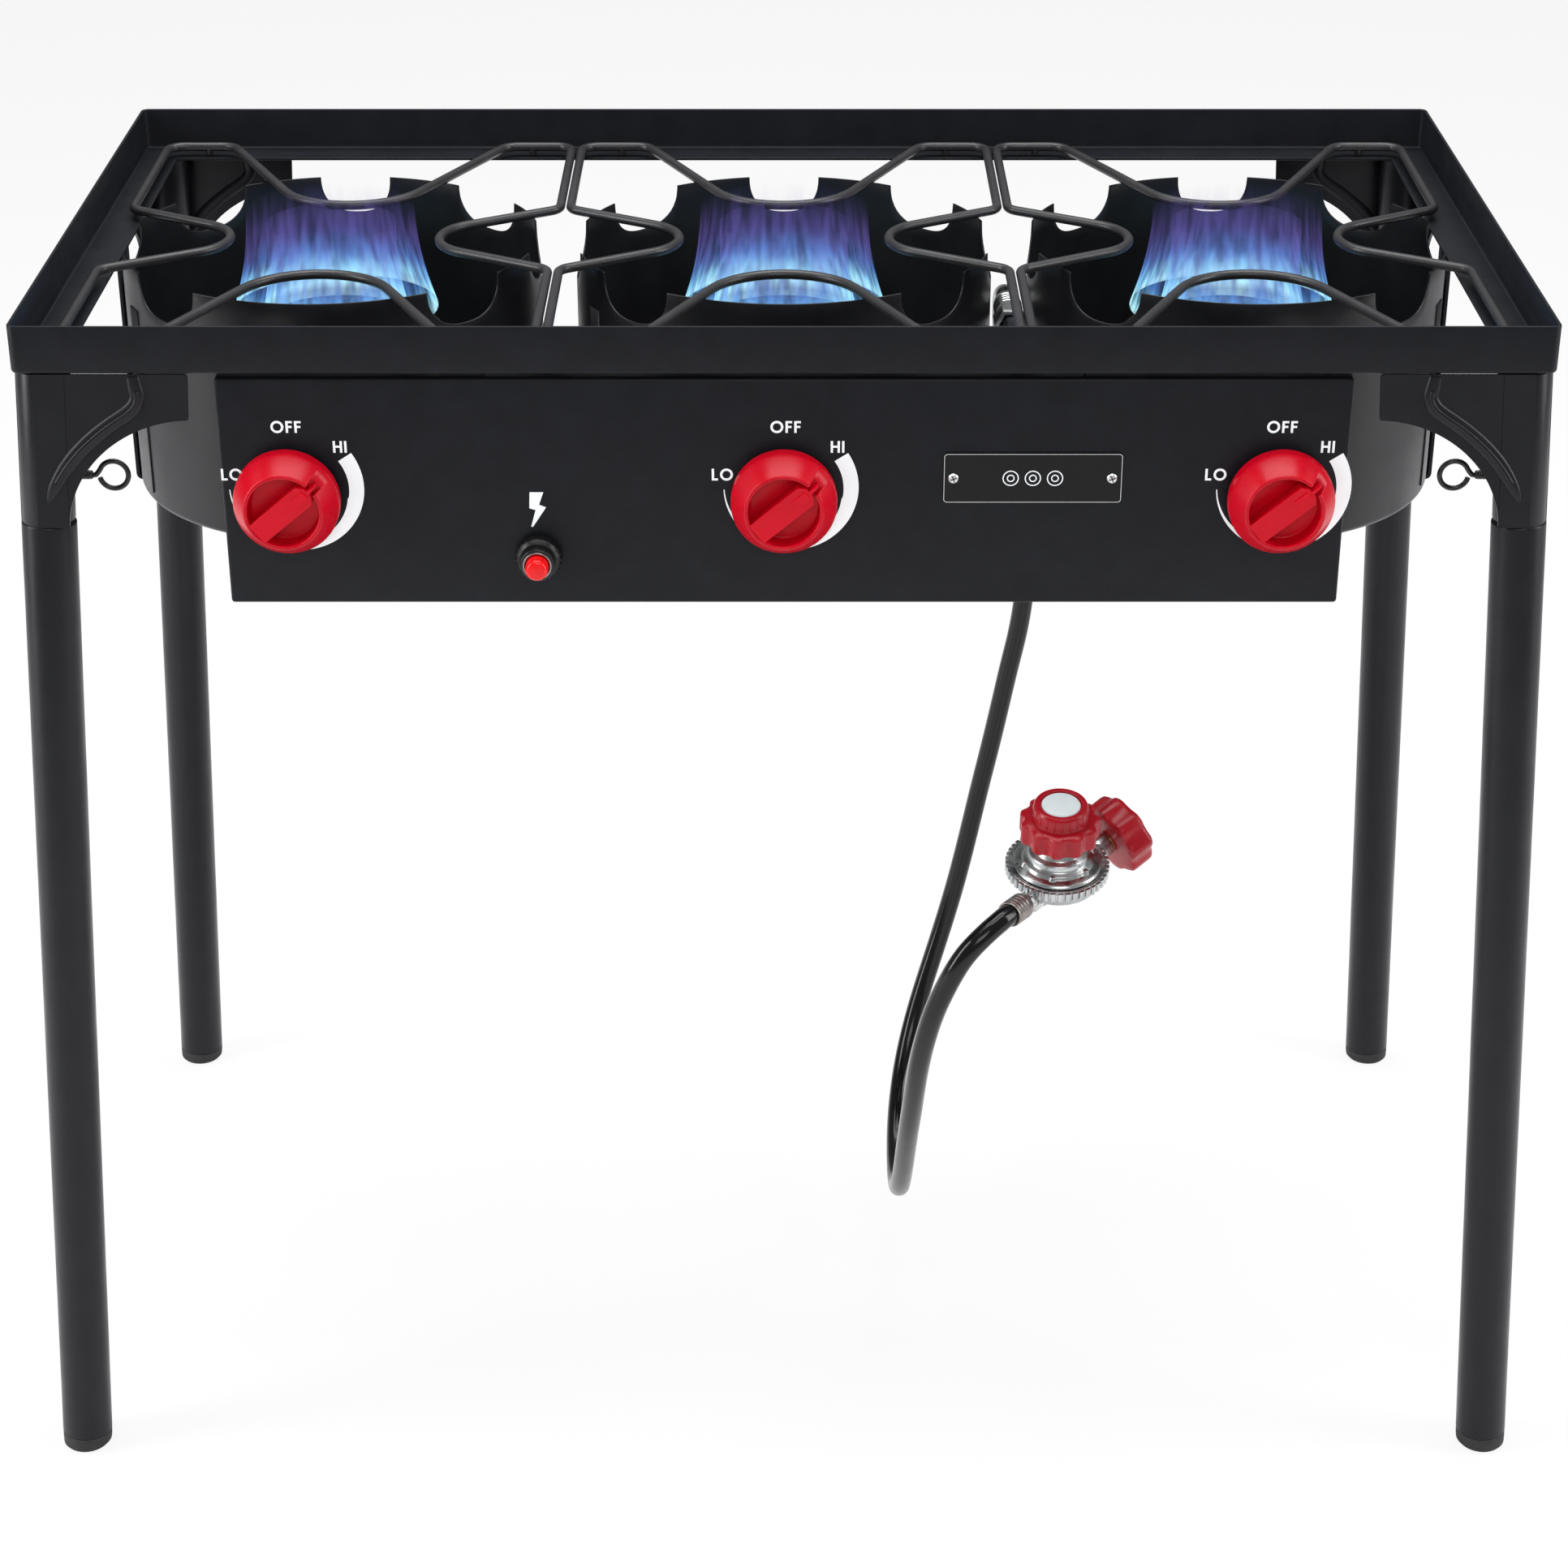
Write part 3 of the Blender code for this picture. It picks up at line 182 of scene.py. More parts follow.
brass.tint((0.42, 0.28, 0.11), scale=60, detail=3.0)
brass.bump(dist=0.00005, strength=0.4, scale=900)
zinc = Look("zinc", "zinc", (0.58, 0.59, 0.58), rough=0.28, metal=1.0)
zinc.rough(low=0.20, high=0.36, scale=160, detail=4.0)
zinc.tint((0.36, 0.38, 0.39), scale=70, detail=3.0)
zinc.bump(dist=0.00006, strength=0.5, scale=700, detail=3.0)
crimped = Look("crimped_steel", "zinc", (0.36, 0.33, 0.31), rough=0.34, metal=1.0)
crimped.rough(low=0.26, high=0.42, scale=200, detail=3.0)
crimped.tint((0.22, 0.19, 0.18), scale=90, detail=3.0)
crimped.bump(dist=0.00005, strength=0.5, scale=900, detail=3.0)
steel = Look("steel_pin", "steel", (0.70, 0.70, 0.70), rough=0.25, metal=1.0)
steel.rough(low=0.18, high=0.35, scale=300, detail=3.0)
steel.bump(dist=0.00004, strength=0.4, scale=1200)
black_screw = Look("black_screw", "black_steel", (0.012, 0.012, 0.013), rough=0.3,
                   metal=0.2)
black_screw.rough(low=0.22, high=0.38, scale=260, detail=3.0)
black_screw.bump(dist=0.00005, strength=0.4, scale=1200)
knob_red = plastic("red_knob_plastic", "red_plastic", (0.54, 0.0005, 0.0120),
                   low=0.24, high=0.34, sub=0.02, spec=0.22)
# brighter copy of the knob red for the dish, its grip bar and pointer: painted light
# that offsets the shade inside the dish
dish_red_painted_light = plastic("red_knob_painted_light", "red_plastic", (0.65, 0.0006, 0.0140),
                   low=0.24, high=0.34, sub=0.02, spec=0.20)
regulator_red = plastic("red_regulator_plastic", "red_plastic",
                        (0.36, 0.0040, 0.0120), low=0.22, high=0.32, spec=0.32)
button_red = plastic("red_button_plastic", "red_button", (0.92, 0.0015, 0.0030),
                     low=0.20, high=0.30, sub=0.05, spec=0.4)
black_plastic = plastic("black_plastic", "black_plastic", (0.008, 0.008, 0.009),
                        low=0.28, high=0.40, spec=0.35)
gloss_black = plastic("plate_gloss_black", "black_plastic", (0.0030, 0.0030, 0.0036),
                      low=0.22, high=0.30, spec=0.25)
white_pad = plastic("white_pad", "white_plastic", (0.66, 0.72, 0.74),
                    low=0.35, high=0.50)
ceramic = plastic("ceramic", "ceramic", (0.74, 0.72, 0.66), low=0.18, high=0.30)
# white print with a faint emission: painted glow that brightens the print
print_white_painted_glow = Look("print_white_painted_glow", "white_plastic", (0.90, 0.94, 0.95), rough=0.5,
                   Emission_Color=(0.95, 1.0, 1.0, 1.0), Emission_Strength=0.16)
print_white_painted_glow.rough(low=0.42, high=0.60, scale=400, detail=3.0)
print_white_painted_glow.tint((0.82, 0.86, 0.87), scale=700, detail=3.0)
hose_rubber = Look("rubber_hose", "rubber", (0.0030, 0.0030, 0.0034), rough=0.3,
                   Coat_Weight=0.22, Coat_Roughness=0.06, Specular_IOR_Level=0.22)
hose_rubber.rough(low=0.14, high=0.24, scale=90, detail=3.0, stretch=(1, 1, 0.25))
hose_rubber.bump(dist=0.00004, strength=0.5, scale=500, detail=3.0)
foot_rubber = Look("rubber_foot", "rubber", (0.014, 0.014, 0.015), rough=0.6)
foot_rubber.rough(low=0.5, high=0.7, scale=200, detail=3.0)
foot_rubber.bump(dist=0.00015, strength=0.6, scale=800, detail=3.0)


# ---- Mesh helpers
def new_object(name, bm, recalc=True):
    mesh = bpy.data.meshes.new(name)
    if recalc:
        bmesh.ops.recalc_face_normals(bm, faces=bm.faces)
    bm.to_mesh(mesh)
    bm.free()
    ob = bpy.data.objects.new(name, mesh)
    bpy.context.scene.collection.objects.link(ob)
    return ob


def shade(mesh, angle=32):
    mesh.shade_smooth()
    mesh.set_sharp_from_angle(angle=math.radians(angle))


def piece(name, bm, look, body=ROOT, replaces=None, smooth=True, angle=32,
          bevel=0.0, bevel_steps=2, solid=0.0):
    """Turns bm into an object riding on body."""
    ob = new_object(name, bm)
    ob.data.materials.append(look.mat)
    if smooth:
        shade(ob.data, angle)
    if solid:
        mod = ob.modifiers.new("Solid", 'SOLIDIFY')
        mod.thickness = solid
        mod.offset = -1.0
        mod.use_even_offset = True
    if bevel:
        mod = ob.modifiers.new("Edge", 'BEVEL')
        mod.width = bevel
        mod.segments = bevel_steps
        mod.limit_method = 'ANGLE'
        mod.angle_limit = math.radians(30)
        mod.harden_normals = False
        mod.use_clamp_overlap = True
    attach(ob, body)
    if replaces:
        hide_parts(replaces)
    return ob


def fillet(points, cyclic=False, arc=4, arc_points=None):
    """Rounds the corners of (x, y[, radius]) points.

    A corner gets arc steps per quarter turn, or arc_points(radius) points."""
    out = []
    count = len(points)
    for i, point in enumerate(points):
        corner = Vector(point[:2])
        radius = point[2] if len(point) > 2 else 0.0
        if radius <= 0 or (not cyclic and i in (0, count - 1)):
            out.append(corner)
            continue
        back = Vector(points[i - 1][:2]) - corner
        ahead = Vector(points[(i + 1) % count][:2]) - corner
        reach = 0.49 * min(back.length, ahead.length)
        back.normalize()
        ahead.normalize()
        half = back.angle(ahead) / 2
        if half > math.radians(89.5):
            out.append(corner)
            continue
        setback = min(radius / math.tan(half), reach)
        radius = setback * math.tan(half)
        centre = corner + (back + ahead).normalized() * (radius / math.sin(half))
        first = corner + back * setback - centre
        last = corner + ahead * setback - centre
        start = math.atan2(first.y, first.x)
        swing = (math.atan2(last.y, last.x) - start + math.pi) % math.tau - math.pi
        if arc_points:
            number = arc_points(radius)
        else:
            number = max(2, int(math.ceil(abs(swing) / math.radians(90) * arc)) + 1)
        for j in range(number):
            angle = start + swing * j / (number - 1)
            out.append(centre + radius * Vector((math.cos(angle), math.sin(angle))))
    return out


def round_rect(half_w, half_h, radius, arc=5):
    return fillet([(-half_w, -half_h, radius), (half_w, -half_h, radius),
                   (half_w, half_h, radius), (-half_w, half_h, radius)],
                  cyclic=True, arc=arc)


def skin(bm, rings, closed=False):
    """Joins equal rings of vertices; closed joins the last to the first."""
    pairs = list(zip(rings, rings[1:]))
    if closed:
        pairs.append((rings[-1], rings[0]))
    for a, b in pairs:
        for i in range(len(a)):
            j = (i + 1) % len(a)
            bm.faces.new((a[i], a[j], b[j], b[i]))


def turn(bm, place, profile, steps, arc=None, closed=False):
    """Turns (r, z[, rounding radius]) points about the Z axis of place.

    arc is the steps per quarter turn of the rounded corners."""
    if arc:
        profile = fillet(profile, closed, arc)
    rings = []
    for radius, z in profile:
        if radius < 1e-7:
            rings.append([bm.verts.new(place @ Vector((0, 0, z)))])
            continue
        rings.append([bm.verts.new(place @ Vector((
            radius * math.cos(math.tau * i / steps),
            radius * math.sin(math.tau * i / steps), z))) for i in range(steps)])
    pairs = list(zip(rings, rings[1:]))
    if closed:
        pairs.append((rings[-1], rings[0]))
    for a, b in pairs:
        for i in range(steps):
            j = (i + 1) % steps
            quad = [a[i % len(a)], a[j % len(a)], b[j % len(b)], b[i % len(b)]]
            corners = list(dict.fromkeys(quad))
            if len(corners) > 2:
                bm.faces.new(corners)


def sweep(bm, path, radius, sides, cyclic=False, up=None, flat=None, scales=None):
    """Sweeps a circle, or an ellipse of half-width radius and half-height flat
    along up. scales holds a factor for each point of the path."""
    path = [Vector(p) for p in path]
    count = len(path)
    rings = []
    normal = None
    for i, point in enumerate(path):
        ahead = path[(i + 1) % count] - point
        back = point - path[i - 1]
        if not cyclic and i == 0:
            tangent = ahead
        elif not cyclic and i == count - 1:
            tangent = back
        else:
            tangent = ahead.normalized() + back.normalized()
        tangent.normalize()
        if up is not None:
            normal = Vector(up)
        elif normal is None:
            normal = tangent.orthogonal()
        else:
            normal = normal - tangent * normal.dot(tangent)
        normal = (normal - tangent * normal.dot(tangent)).normalized()
        across = tangent.cross(normal)
        scale = 1.0 if scales is None else scales[i]
        high = (flat if flat is not None else radius) * scale
        wide = radius * scale
        rings.append([bm.verts.new(point
                                   + normal * high * math.cos(math.tau * j / sides)
                                   + across * wide * math.sin(math.tau * j / sides))
                      for j in range(sides)])
    skin(bm, rings, cyclic)
    if not cyclic:
        bm.faces.new(rings[0][::-1])
        bm.faces.new(rings[-1])


def prism(bm, outline, low, high, place=Matrix()):
    """Extrudes an (x, y) outline from z = low to z = high."""
    ends = [[bm.verts.new(place @ Vector((p[0], p[1], z))) for p in outline]
            for z in (low, high)]
    skin(bm, ends)
    caps = [bm.faces.new(ends[0][::-1]), bm.faces.new(ends[1])]
    if len(outline) > 4:
        bmesh.ops.triangulate(bm, faces=caps, ngon_method='EAR_CLIP')


def circle(x, y, radius, count):
    """Points round a circle, with the first repeated at the end."""
    return [(x + radius * math.cos(math.tau * i / count),
             y + radius * math.sin(math.tau * i / count)) for i in range(count + 1)]


def band(inner, outer):
    """Quads between two lines of as many points."""
    return [(inner[i], outer[i], outer[i + 1], inner[i + 1])
            for i in range(len(inner) - 1)]


def smooth_path(points, per):
    """Catmull-Rom curve through points, with per steps to a span."""
    pts = [Vector(p) for p in points]
    pts = [2 * pts[0] - pts[1]] + pts + [2 * pts[-1] - pts[-2]]
    out = []
    for i in range(1, len(pts) - 2):
        p0, p1, p2, p3 = pts[i - 1:i + 3]
        for j in range(per):
            t = j / per
            out.append(0.5 * ((2 * p1) + (p2 - p0) * t
                              + (2 * p0 - 5 * p1 + 4 * p2 - p3) * t * t
                              + (3 * p1 - p0 - 3 * p2 + p3) * t ** 3))
    out.append(pts[-2])
    return out


def shift(x, y, z):
    return Matrix.Translation((x, y, z))


def aim(direction, at):
    """Frame at a point with its Z along direction."""
    turned = Vector(direction).normalized().to_track_quat('Z', 'Y')
    return Matrix.Translation(Vector(at)) @ turned.to_matrix().to_4x4()


def around(place, count, radius=0.0, phase=0.0):
    """Frames evenly spaced round the Z axis of place, with X pointing outward."""
    return [place @ Matrix.Rotation(math.tau * (i + phase) / count, 4, 'Z')
            @ shift(radius, 0, 0) for i in range(count)]


def panel_frame(x, y, z):
    """Frame on the panel: local x is world X, y is world Z, z is world -Y."""
    return Matrix(((1, 0, 0, x), (0, 0, -1, y), (0, 1, 0, z), (0, 0, 0, 1)))


# ---- Top frame
FRAME_CORNER_R = 0.0050
SADDLE_IN = 0.0035                       # saddle centre outside the flange's inner edge


def frame_corner_ring(bm, section, sx, sy, angle):
    """One copy of the section at an angle round a corner of the frame."""
    ring = []
    for depth, z in section:
        radius = max(FRAME_CORNER_R - depth, 0.0)
        inset = max(depth, FRAME_CORNER_R)
        ring.append(bm.verts.new((sx * (HALF_W - inset) + radius * math.cos(angle),
                                  sy * (HALF_D - inset) + radius * math.sin(angle), z)))
    return ring


# depth in from the outside, z, rounding radius
section = fillet([(0.0, RIM_TOP, 0.0006), (0.0, FLANGE_LOW, 0.0022),
                  (FLANGE_W, FLANGE_LOW, 0.0005), (FLANGE_W, FLANGE_TOP, 0.0005),
                  (SHEET, FLANGE_TOP, 0.0014), (SHEET, RIM_TOP, 0.0006)], cyclic=True)
bm = bmesh.new()
skin(bm, [frame_corner_ring(bm, section, sx, sy, math.radians(start + 15 * i))
          for sx, sy, start in ((1, 1, 0), (-1, 1, 90), (-1, -1, 180), (1, -1, 270))
          for i in range(7)], closed=True)
bmesh.ops.remove_doubles(bm, verts=bm.verts, dist=1e-6)
bmesh.ops.dissolve_degenerate(bm, edges=bm.edges, dist=1e-7)
piece("top_frame_angle_iron", bm, frame_powder, replaces="top_frame", angle=40)

# weld seams across the mitred flange corners, and the grate saddles
bm = bmesh.new()
for sx in (-1, 1):
    for sy in (-1, 1):
        seam = [(sx * (HALF_W - 0.0035 - t), sy * (HALF_D - 0.0035 - t), FLANGE_TOP)
                for t in [0.0216 * i / 6 for i in range(7)]]
        sweep(bm, seam, 0.0013, 8, up=(0, 0, 1), flat=0.00035)
        prism(bm, round_rect(0.0055, 0.0030, 0.001, arc=4),
              FLANGE_TOP - 0.0003, GRATE_Z - ROD_R - 0.0004,
              shift(sx * GRATE_PITCH / 2, sy * (HALF_D - FLANGE_W + SADDLE_IN), 0))
piece("top_frame_saddles_and_welds", bm, frame_powder)

# ---- Corner brackets, legs, feet and lock screws
# A bracket is a socket round the leg, with a wing along each side of the frame.
# Distances along a wing run inward from the frame's outer corner.
WING_END, WING_T = 0.0985, 0.0016
END_TOP_R, END_LOW_R = 0.0020, 0.0012    # rounding of the wing's end
# hollow lower edge: a quarter ellipse
ARCH_X, ARCH_Z, ARCH_W, ARCH_H = 0.1000, -0.0915, 0.0703, 0.0652
# pressed bead: distance along the wing, share of full width, z
BEAD = [(0.0185, 0.25, -0.0745), (0.0220, 0.75, -0.0665), (0.0290, 0.95, -0.0545),
        (0.0375, 1.00, -0.0440), (0.0470, 1.00, -0.0350), (0.0560, 1.00, -0.0280),
        (0.0640, 1.00, -0.0225), (0.0685, 0.98, -0.0180), (0.0702, 0.95, -0.0130),
        (0.0690, 0.90, -0.0070), (0.0680, 0.75, -0.0010)]
LEG_R, NECK_R = 0.0156, 0.0133
LEG_STEPS = 56
SCREW_DROP, SCREW_START, EYE_R = 0.0640, 0.0136, 0.0082


def wing_top(x):
    past = x - (WING_END - END_TOP_R)
    if past <= 0:
        return 0.0003
    return 0.0003 - END_TOP_R + math.sqrt(max(0.0, END_TOP_R ** 2 - past * past))


def wing_low(x):
    if x <= 0.0302:
        return -SOCKET_DEPTH
    share = min(1.0, (ARCH_X - x) / ARCH_W)
    z = ARCH_Z + ARCH_H * math.sqrt(max(0.0, 1 - share * share))
    past = x - (WING_END - END_LOW_R)
    if past <= 0:
        return z
    return z + END_LOW_R - math.sqrt(max(0.0, END_LOW_R ** 2 - past * past))


arch_x = [ARCH_X - ARCH_W * math.sin(math.radians(88.6 - 3.3 * i)) for i in range(26)]
WING_X = ([0.0120, 0.0301] + [x for x in arch_x if x < 0.0964]
          + [0.0965, 0.0973, 0.0978, 0.0982, 0.09845, WING_END])


def add_wing(bm, place):
    """Bracket wing built in columns, so its hollow lower edge stays open."""
    columns = [[bm.verts.new(place @ Vector(c)) for c in
                ((x, wing_top(x), 0.0), (x, wing_low(x), 0.0),
                 (x, wing_low(x), WING_T), (x, wing_top(x), WING_T))] for x in WING_X]
    skin(bm, columns)
    bm.faces.new(columns[0][::-1])
    bm.faces.new(columns[-1])


def leg_point(sx, sy, drop):
    """Point on a leg's axis at a drop below BRACKET_TOP."""
    return Vector((sx * (HALF_W - LEG_INSET + SPLAY_X * drop),
                   sy * (HALF_D - LEG_INSET + SPLAY_Y * drop), BRACKET_TOP - drop))


def leg_line(sx, sy):
    """Low end of a leg tube, its upward direction and its length."""
    top = leg_point(sx, sy, LEG_TOP_DROP)
    low = leg_point(sx, sy, BRACKET_TOP - 0.0100)
    return low, (top - low).normalized(), (top - low).length


def corner_bracket(corner, sx, sy):
    # local x and y point inward, so the shear leans outward as z falls
    shear = Matrix.Identity(4)
    shear[0][2], shear[1][2] = SPLAY_X, SPLAY_Y
    place = (shift(sx * HALF_W, sy * HALF_D, BRACKET_TOP)
             @ Matrix.Diagonal((-sx, -sy, 1, 1)) @ shear)
    bm = bmesh.new()
    outer, bore = 0.0151, 0.0139
    turn(bm, place @ shift(LEG_INSET, LEG_INSET, 0),
         [(bore, 0.0), (outer, 0.0, 0.0005), (outer, -SOCKET_DEPTH, 0.0010),
          (bore, -SOCKET_DEPTH, 0.0004)], 48, arc=3, closed=True)
    # one wing along X, then one along Y
    add_wing(bm, place @ Matrix(((1, 0, 0, 0), (0, 0, -1, 0.0018),
                                 (0, 1, 0, 0), (0, 0, 0, 1))))
    add_wing(bm, place @ Matrix(((0, 0, 1, 0.0002), (1, 0, 0, 0),
                                 (0, 1, 0, 0), (0, 0, 0, 1))))
    piece("corner_bracket_skin_" + corner, bm, leg_powder,
          replaces="corner_bracket_" + corner, bevel=0.0004, angle=40)

    bm = bmesh.new()
    bead = smooth_path(BEAD, 3)
    for along_y in (False, True):
        path = [place @ Vector((0.0006, p.x, p.z) if along_y else (p.x, 0.0006, p.z))
                for p in bead]
        out = (sx, 0, 0) if along_y else (0, sy, 0)
        sweep(bm, path, 0.0047, 16, up=out, flat=0.0025, scales=[p.y for p in bead])
        # narrower line down the middle of the bead
        sweep(bm, [p + Vector(out) * 0.0014 for p in path[4:-4]], 0.0017, 12,
              up=out, flat=0.0016)
    piece("corner_bracket_bead_" + corner, bm, leg_powder)


def leg_tube(corner, sx, sy):
    low, axis, length = leg_line(sx, sy)
    # the tube narrows just below the socket
    neck = length - (SOCKET_DEPTH - LEG_TOP_DROP) - 0.0010
    bm = bmesh.new()
    turn(bm, aim(axis, low),
         [(0.0119, length), (NECK_R, length, 0.0004), (NECK_R, neck + 0.0006, 0.0004),
          (LEG_R, neck - 0.0002, 0.0022), (LEG_R, 0.0, 0.0003),
          (0.0144, 0.0, 0.0003), (0.0144, neck - 0.005), (0.0119, neck)],
         LEG_STEPS, arc=6, closed=True)
    piece("leg_tube_" + corner, bm, leg_powder, "leg_" + corner, "leg_" + corner)


def foot_plug(corner, sx, sy):
    """Foot cap with a level sole and an eased rim."""
    low, axis, _ = leg_line(sx, sy)
    bm = bmesh.new()
    turn(bm, aim(axis, low),
         [(0.0, 0.0120), (0.0136, 0.0120), (0.0139, 0.0110), (0.0139, -0.0004),
          (0.0153, -0.0004), (0.0155, -0.0012), (0.0155, -0.0040)], LEG_STEPS)
    last = list(bm.verts)[-LEG_STEPS:]
    sole_centre = low - axis * (low.z / axis.z)
    rim, sole = [], []
    for vert in last:
        start = vert.co.copy()
        # height above the floor, share of the way in to the centre
        for ring, height, share in ((rim, 0.0018, 0.015), (sole, 0.0, 0.11)):
            p = start - axis * ((start.z - height) / axis.z)
            ring.append(bm.verts.new(p + (sole_centre - p) * share))
    skin(bm, [last, rim, sole])
    bm.faces.new(sole)
    piece("foot_plug_" + corner, bm, foot_rubber, "leg_" + corner,
          "foot_cap_" + corner)


def eye_screw(corner, sx, sy):
    """Eye-headed lock screw pointing inward along X."""
    centre = leg_point(sx, sy, SCREW_DROP)
    inward = Vector((-sx, 0, 0))
    place = aim(inward, centre)
    start = SCREW_START
    bm = bmesh.new()
    turn(bm, place,
         [(0, start), (0.0020, start), (0.0025, start + 0.0006),
          (0.0025, start + 0.0122, 0.0006), (0, start + 0.0122)], 24, arc=3)
    for i in range(9):                   # thread crests
        z = start + 0.0012 + i * 0.0011
        turn(bm, place, [(0.0024, z - 0.0004), (0.00275, z), (0.0024, z + 0.0004)], 24)
    eye = start + 0.0150 + EYE_R * 1.12
    path = [(start + 0.0110, 0.0), (start + 0.0140, 0.0)]
    for i in range(33):
        angle = math.radians(180 - 24 - i * 10.1)
        path.append((eye + EYE_R * math.cos(angle), EYE_R * math.sin(angle)))
    wire = smooth_path([centre + inward * x + Vector((0, 0, z)) for x, z in path], 2)
    sweep(bm, wire, 0.00150, 14, up=(0, 1, 0))
    piece("eye_screw_" + corner, bm, black_screw, "lock_screw_" + corner,
          "leg_lock_screw_" + corner)


for corner in CORNERS:
    corner_bracket(*corner)
    leg_tube(*corner)
    foot_plug(*corner)
    eye_screw(*corner)

# ---- Grates
# path of the bent rod: x, y, bend radius
GRATE_PATH = [
    (GRATE_HALF_W, GRATE_HALF_D, 0.0110), (0.0905, GRATE_HALF_D, 0.0130),
    (0.0, 0.0043, 0.0466),
    (-0.0905, GRATE_HALF_D, 0.0130), (-GRATE_HALF_W, GRATE_HALF_D, 0.0110),
    (-GRATE_HALF_W, 0.0600, 0.0110), (-0.0340, 0.0, 0.0318),
    (-GRATE_HALF_W, -0.0600, 0.0110),
    (-GRATE_HALF_W, -GRATE_HALF_D, 0.0110), (-0.0905, -GRATE_HALF_D, 0.0130),
    (0.0, -0.0043, 0.0466),
    (0.0905, -GRATE_HALF_D, 0.0130), (GRATE_HALF_W, -GRATE_HALF_D, 0.0110),
    (GRATE_HALF_W, -0.0600, 0.0110), (0.0340, 0.0, 0.0318),
    (GRATE_HALF_W, 0.0600, 0.0110)]
rod_path = fillet(GRATE_PATH, cyclic=True,
                  arc_points=lambda radius: 16 if radius > 0.02 else 8)
for side, col in SIDES:
    bm = bmesh.new()
    grate_x = col * GRATE_PITCH
    sweep(bm, [(p.x + grate_x, p.y, GRATE_Z) for p in rod_path], ROD_R, 16,
          cyclic=True, up=(0, 0, 1))
    for sx, sy in ((1, 1), (-1, 1), (1, -1), (-1, -1)):      # short feet
        turn(bm, shift(grate_x + sx * 0.1080, sy * GRATE_HALF_D, 0),
             [(0, GRATE_Z), (0.0024, GRATE_Z), (0.0024, FLANGE_TOP + 0.0004, 0.0005),
              (0, FLANGE_TOP + 0.0004)], 16, arc=3)
    piece("grate_rod_" + side, bm, rod_enamel, "grate_" + side, "grate_" + side)

# ---- Wind shields
NOTCH_LOW = 0.7050
NOTCH_CURVE = 0.82                       # superellipse exponent is 2 / NOTCH_CURVE
WALL_MID = 0.66                          # below this height the wall is plain
# angle of a notch in degrees, half width
NOTCHES = ((0, 0.0325), (45, 0.0275), (90, 0.0225), (135, 0.0275),
           (180, 0.0325), (225, 0.0275), (315, 0.0275))


def crown(theta):
    """Height of the shield's top edge at an angle: notches between ears."""
    z = SHIELD_TOP
    for degrees, half_w in NOTCHES:
        off = (theta - math.radians(degrees) + math.pi) % math.tau - math.pi
        x = abs(SHIELD_R * math.sin(off)) if abs(off) < 1.2 else 9.0
        if x < half_w:
            depth = max(0.0, 1 - (x / half_w) ** (2 / NOTCH_CURVE)) ** (NOTCH_CURVE / 2)
            z = min(z, SHIELD_TOP - (SHIELD_TOP - NOTCH_LOW) * depth)
    return z


# a column each degree, and more beside the notch edges
angles = [math.radians(i) for i in range(360)]
for degrees, half_w in NOTCHES:
    edge = math.asin(half_w / SHIELD_R)
    for sign in (-1, 1):
        for inside in (-0.0004, 0.0002, 0.0012, 0.003, 0.006, 0.010):
            angles.append((math.radians(degrees) + sign * (edge - inside)) % math.tau)
angles = sorted(set(round(angle, 6) for angle in angles))


def shield_shell(side, centre_x):
    bm = bmesh.new()
    profile = fillet([(0.0450, SHIELD_LOW), (SHIELD_R, SHIELD_LOW, 0.0045),
                      (SHIELD_R, WALL_MID)], arc=8)
    columns = []
    for angle in angles:
        upper = [(SHIELD_R, WALL_MID + (crown(angle) - WALL_MID) * share)
                 for share in (0.5, 0.85, 1.0)]
        columns.append([bm.verts.new((centre_x + radius * math.cos(angle),
                                      BURNER_Y + radius * math.sin(angle), z))
                        for radius, z in profile + upper])
    for a, b in zip(columns, columns[1:] + columns[:1]):
        for j in range(len(a) - 1):
            bm.faces.new((a[j], b[j], b[j + 1], a[j + 1]))
    piece("shield_shell_" + side, bm, shield_enamel, replaces="wind_shield_" + side,
          solid=0.0010, bevel=0.00040, angle=40)


def shield_seam(side, centre_x, start_degrees):
    """Lapped seam where the sheet was rolled up."""
    bm = bmesh.new()
    line = []
    for j in range(8):
        angle = math.radians(start_degrees) + math.radians(6.0 * j / 7)
        line.append((SHIELD_R + 0.0001 + 0.0007)
                    * Vector((math.cos(angle), math.sin(angle), 0)))
    low, high = [[bm.verts.new((centre_x + p.x, BURNER_Y + p.y, z)) for p in line]
                 for z in (SHIELD_LOW + 0.008, 0.7020)]
    for j in range(7):
        bm.faces.new((low[j], low[j + 1], high[j + 1], high[j]))
    piece("shield_seam_" + side, bm, shield_enamel, solid=0.0009)


for side, col in SIDES:
    shield_shell(side, col * BURNER_PITCH)
    shield_seam(side, col * BURNER_PITCH, 204 if col <= 0 else 336)

# ---- Burner heads, mixer pipes and electrodes
HEAD_R, HEAD_TOP, HEAD_LOW = 0.0680, 0.6720, 0.6440
MIXER_Z = 0.6250


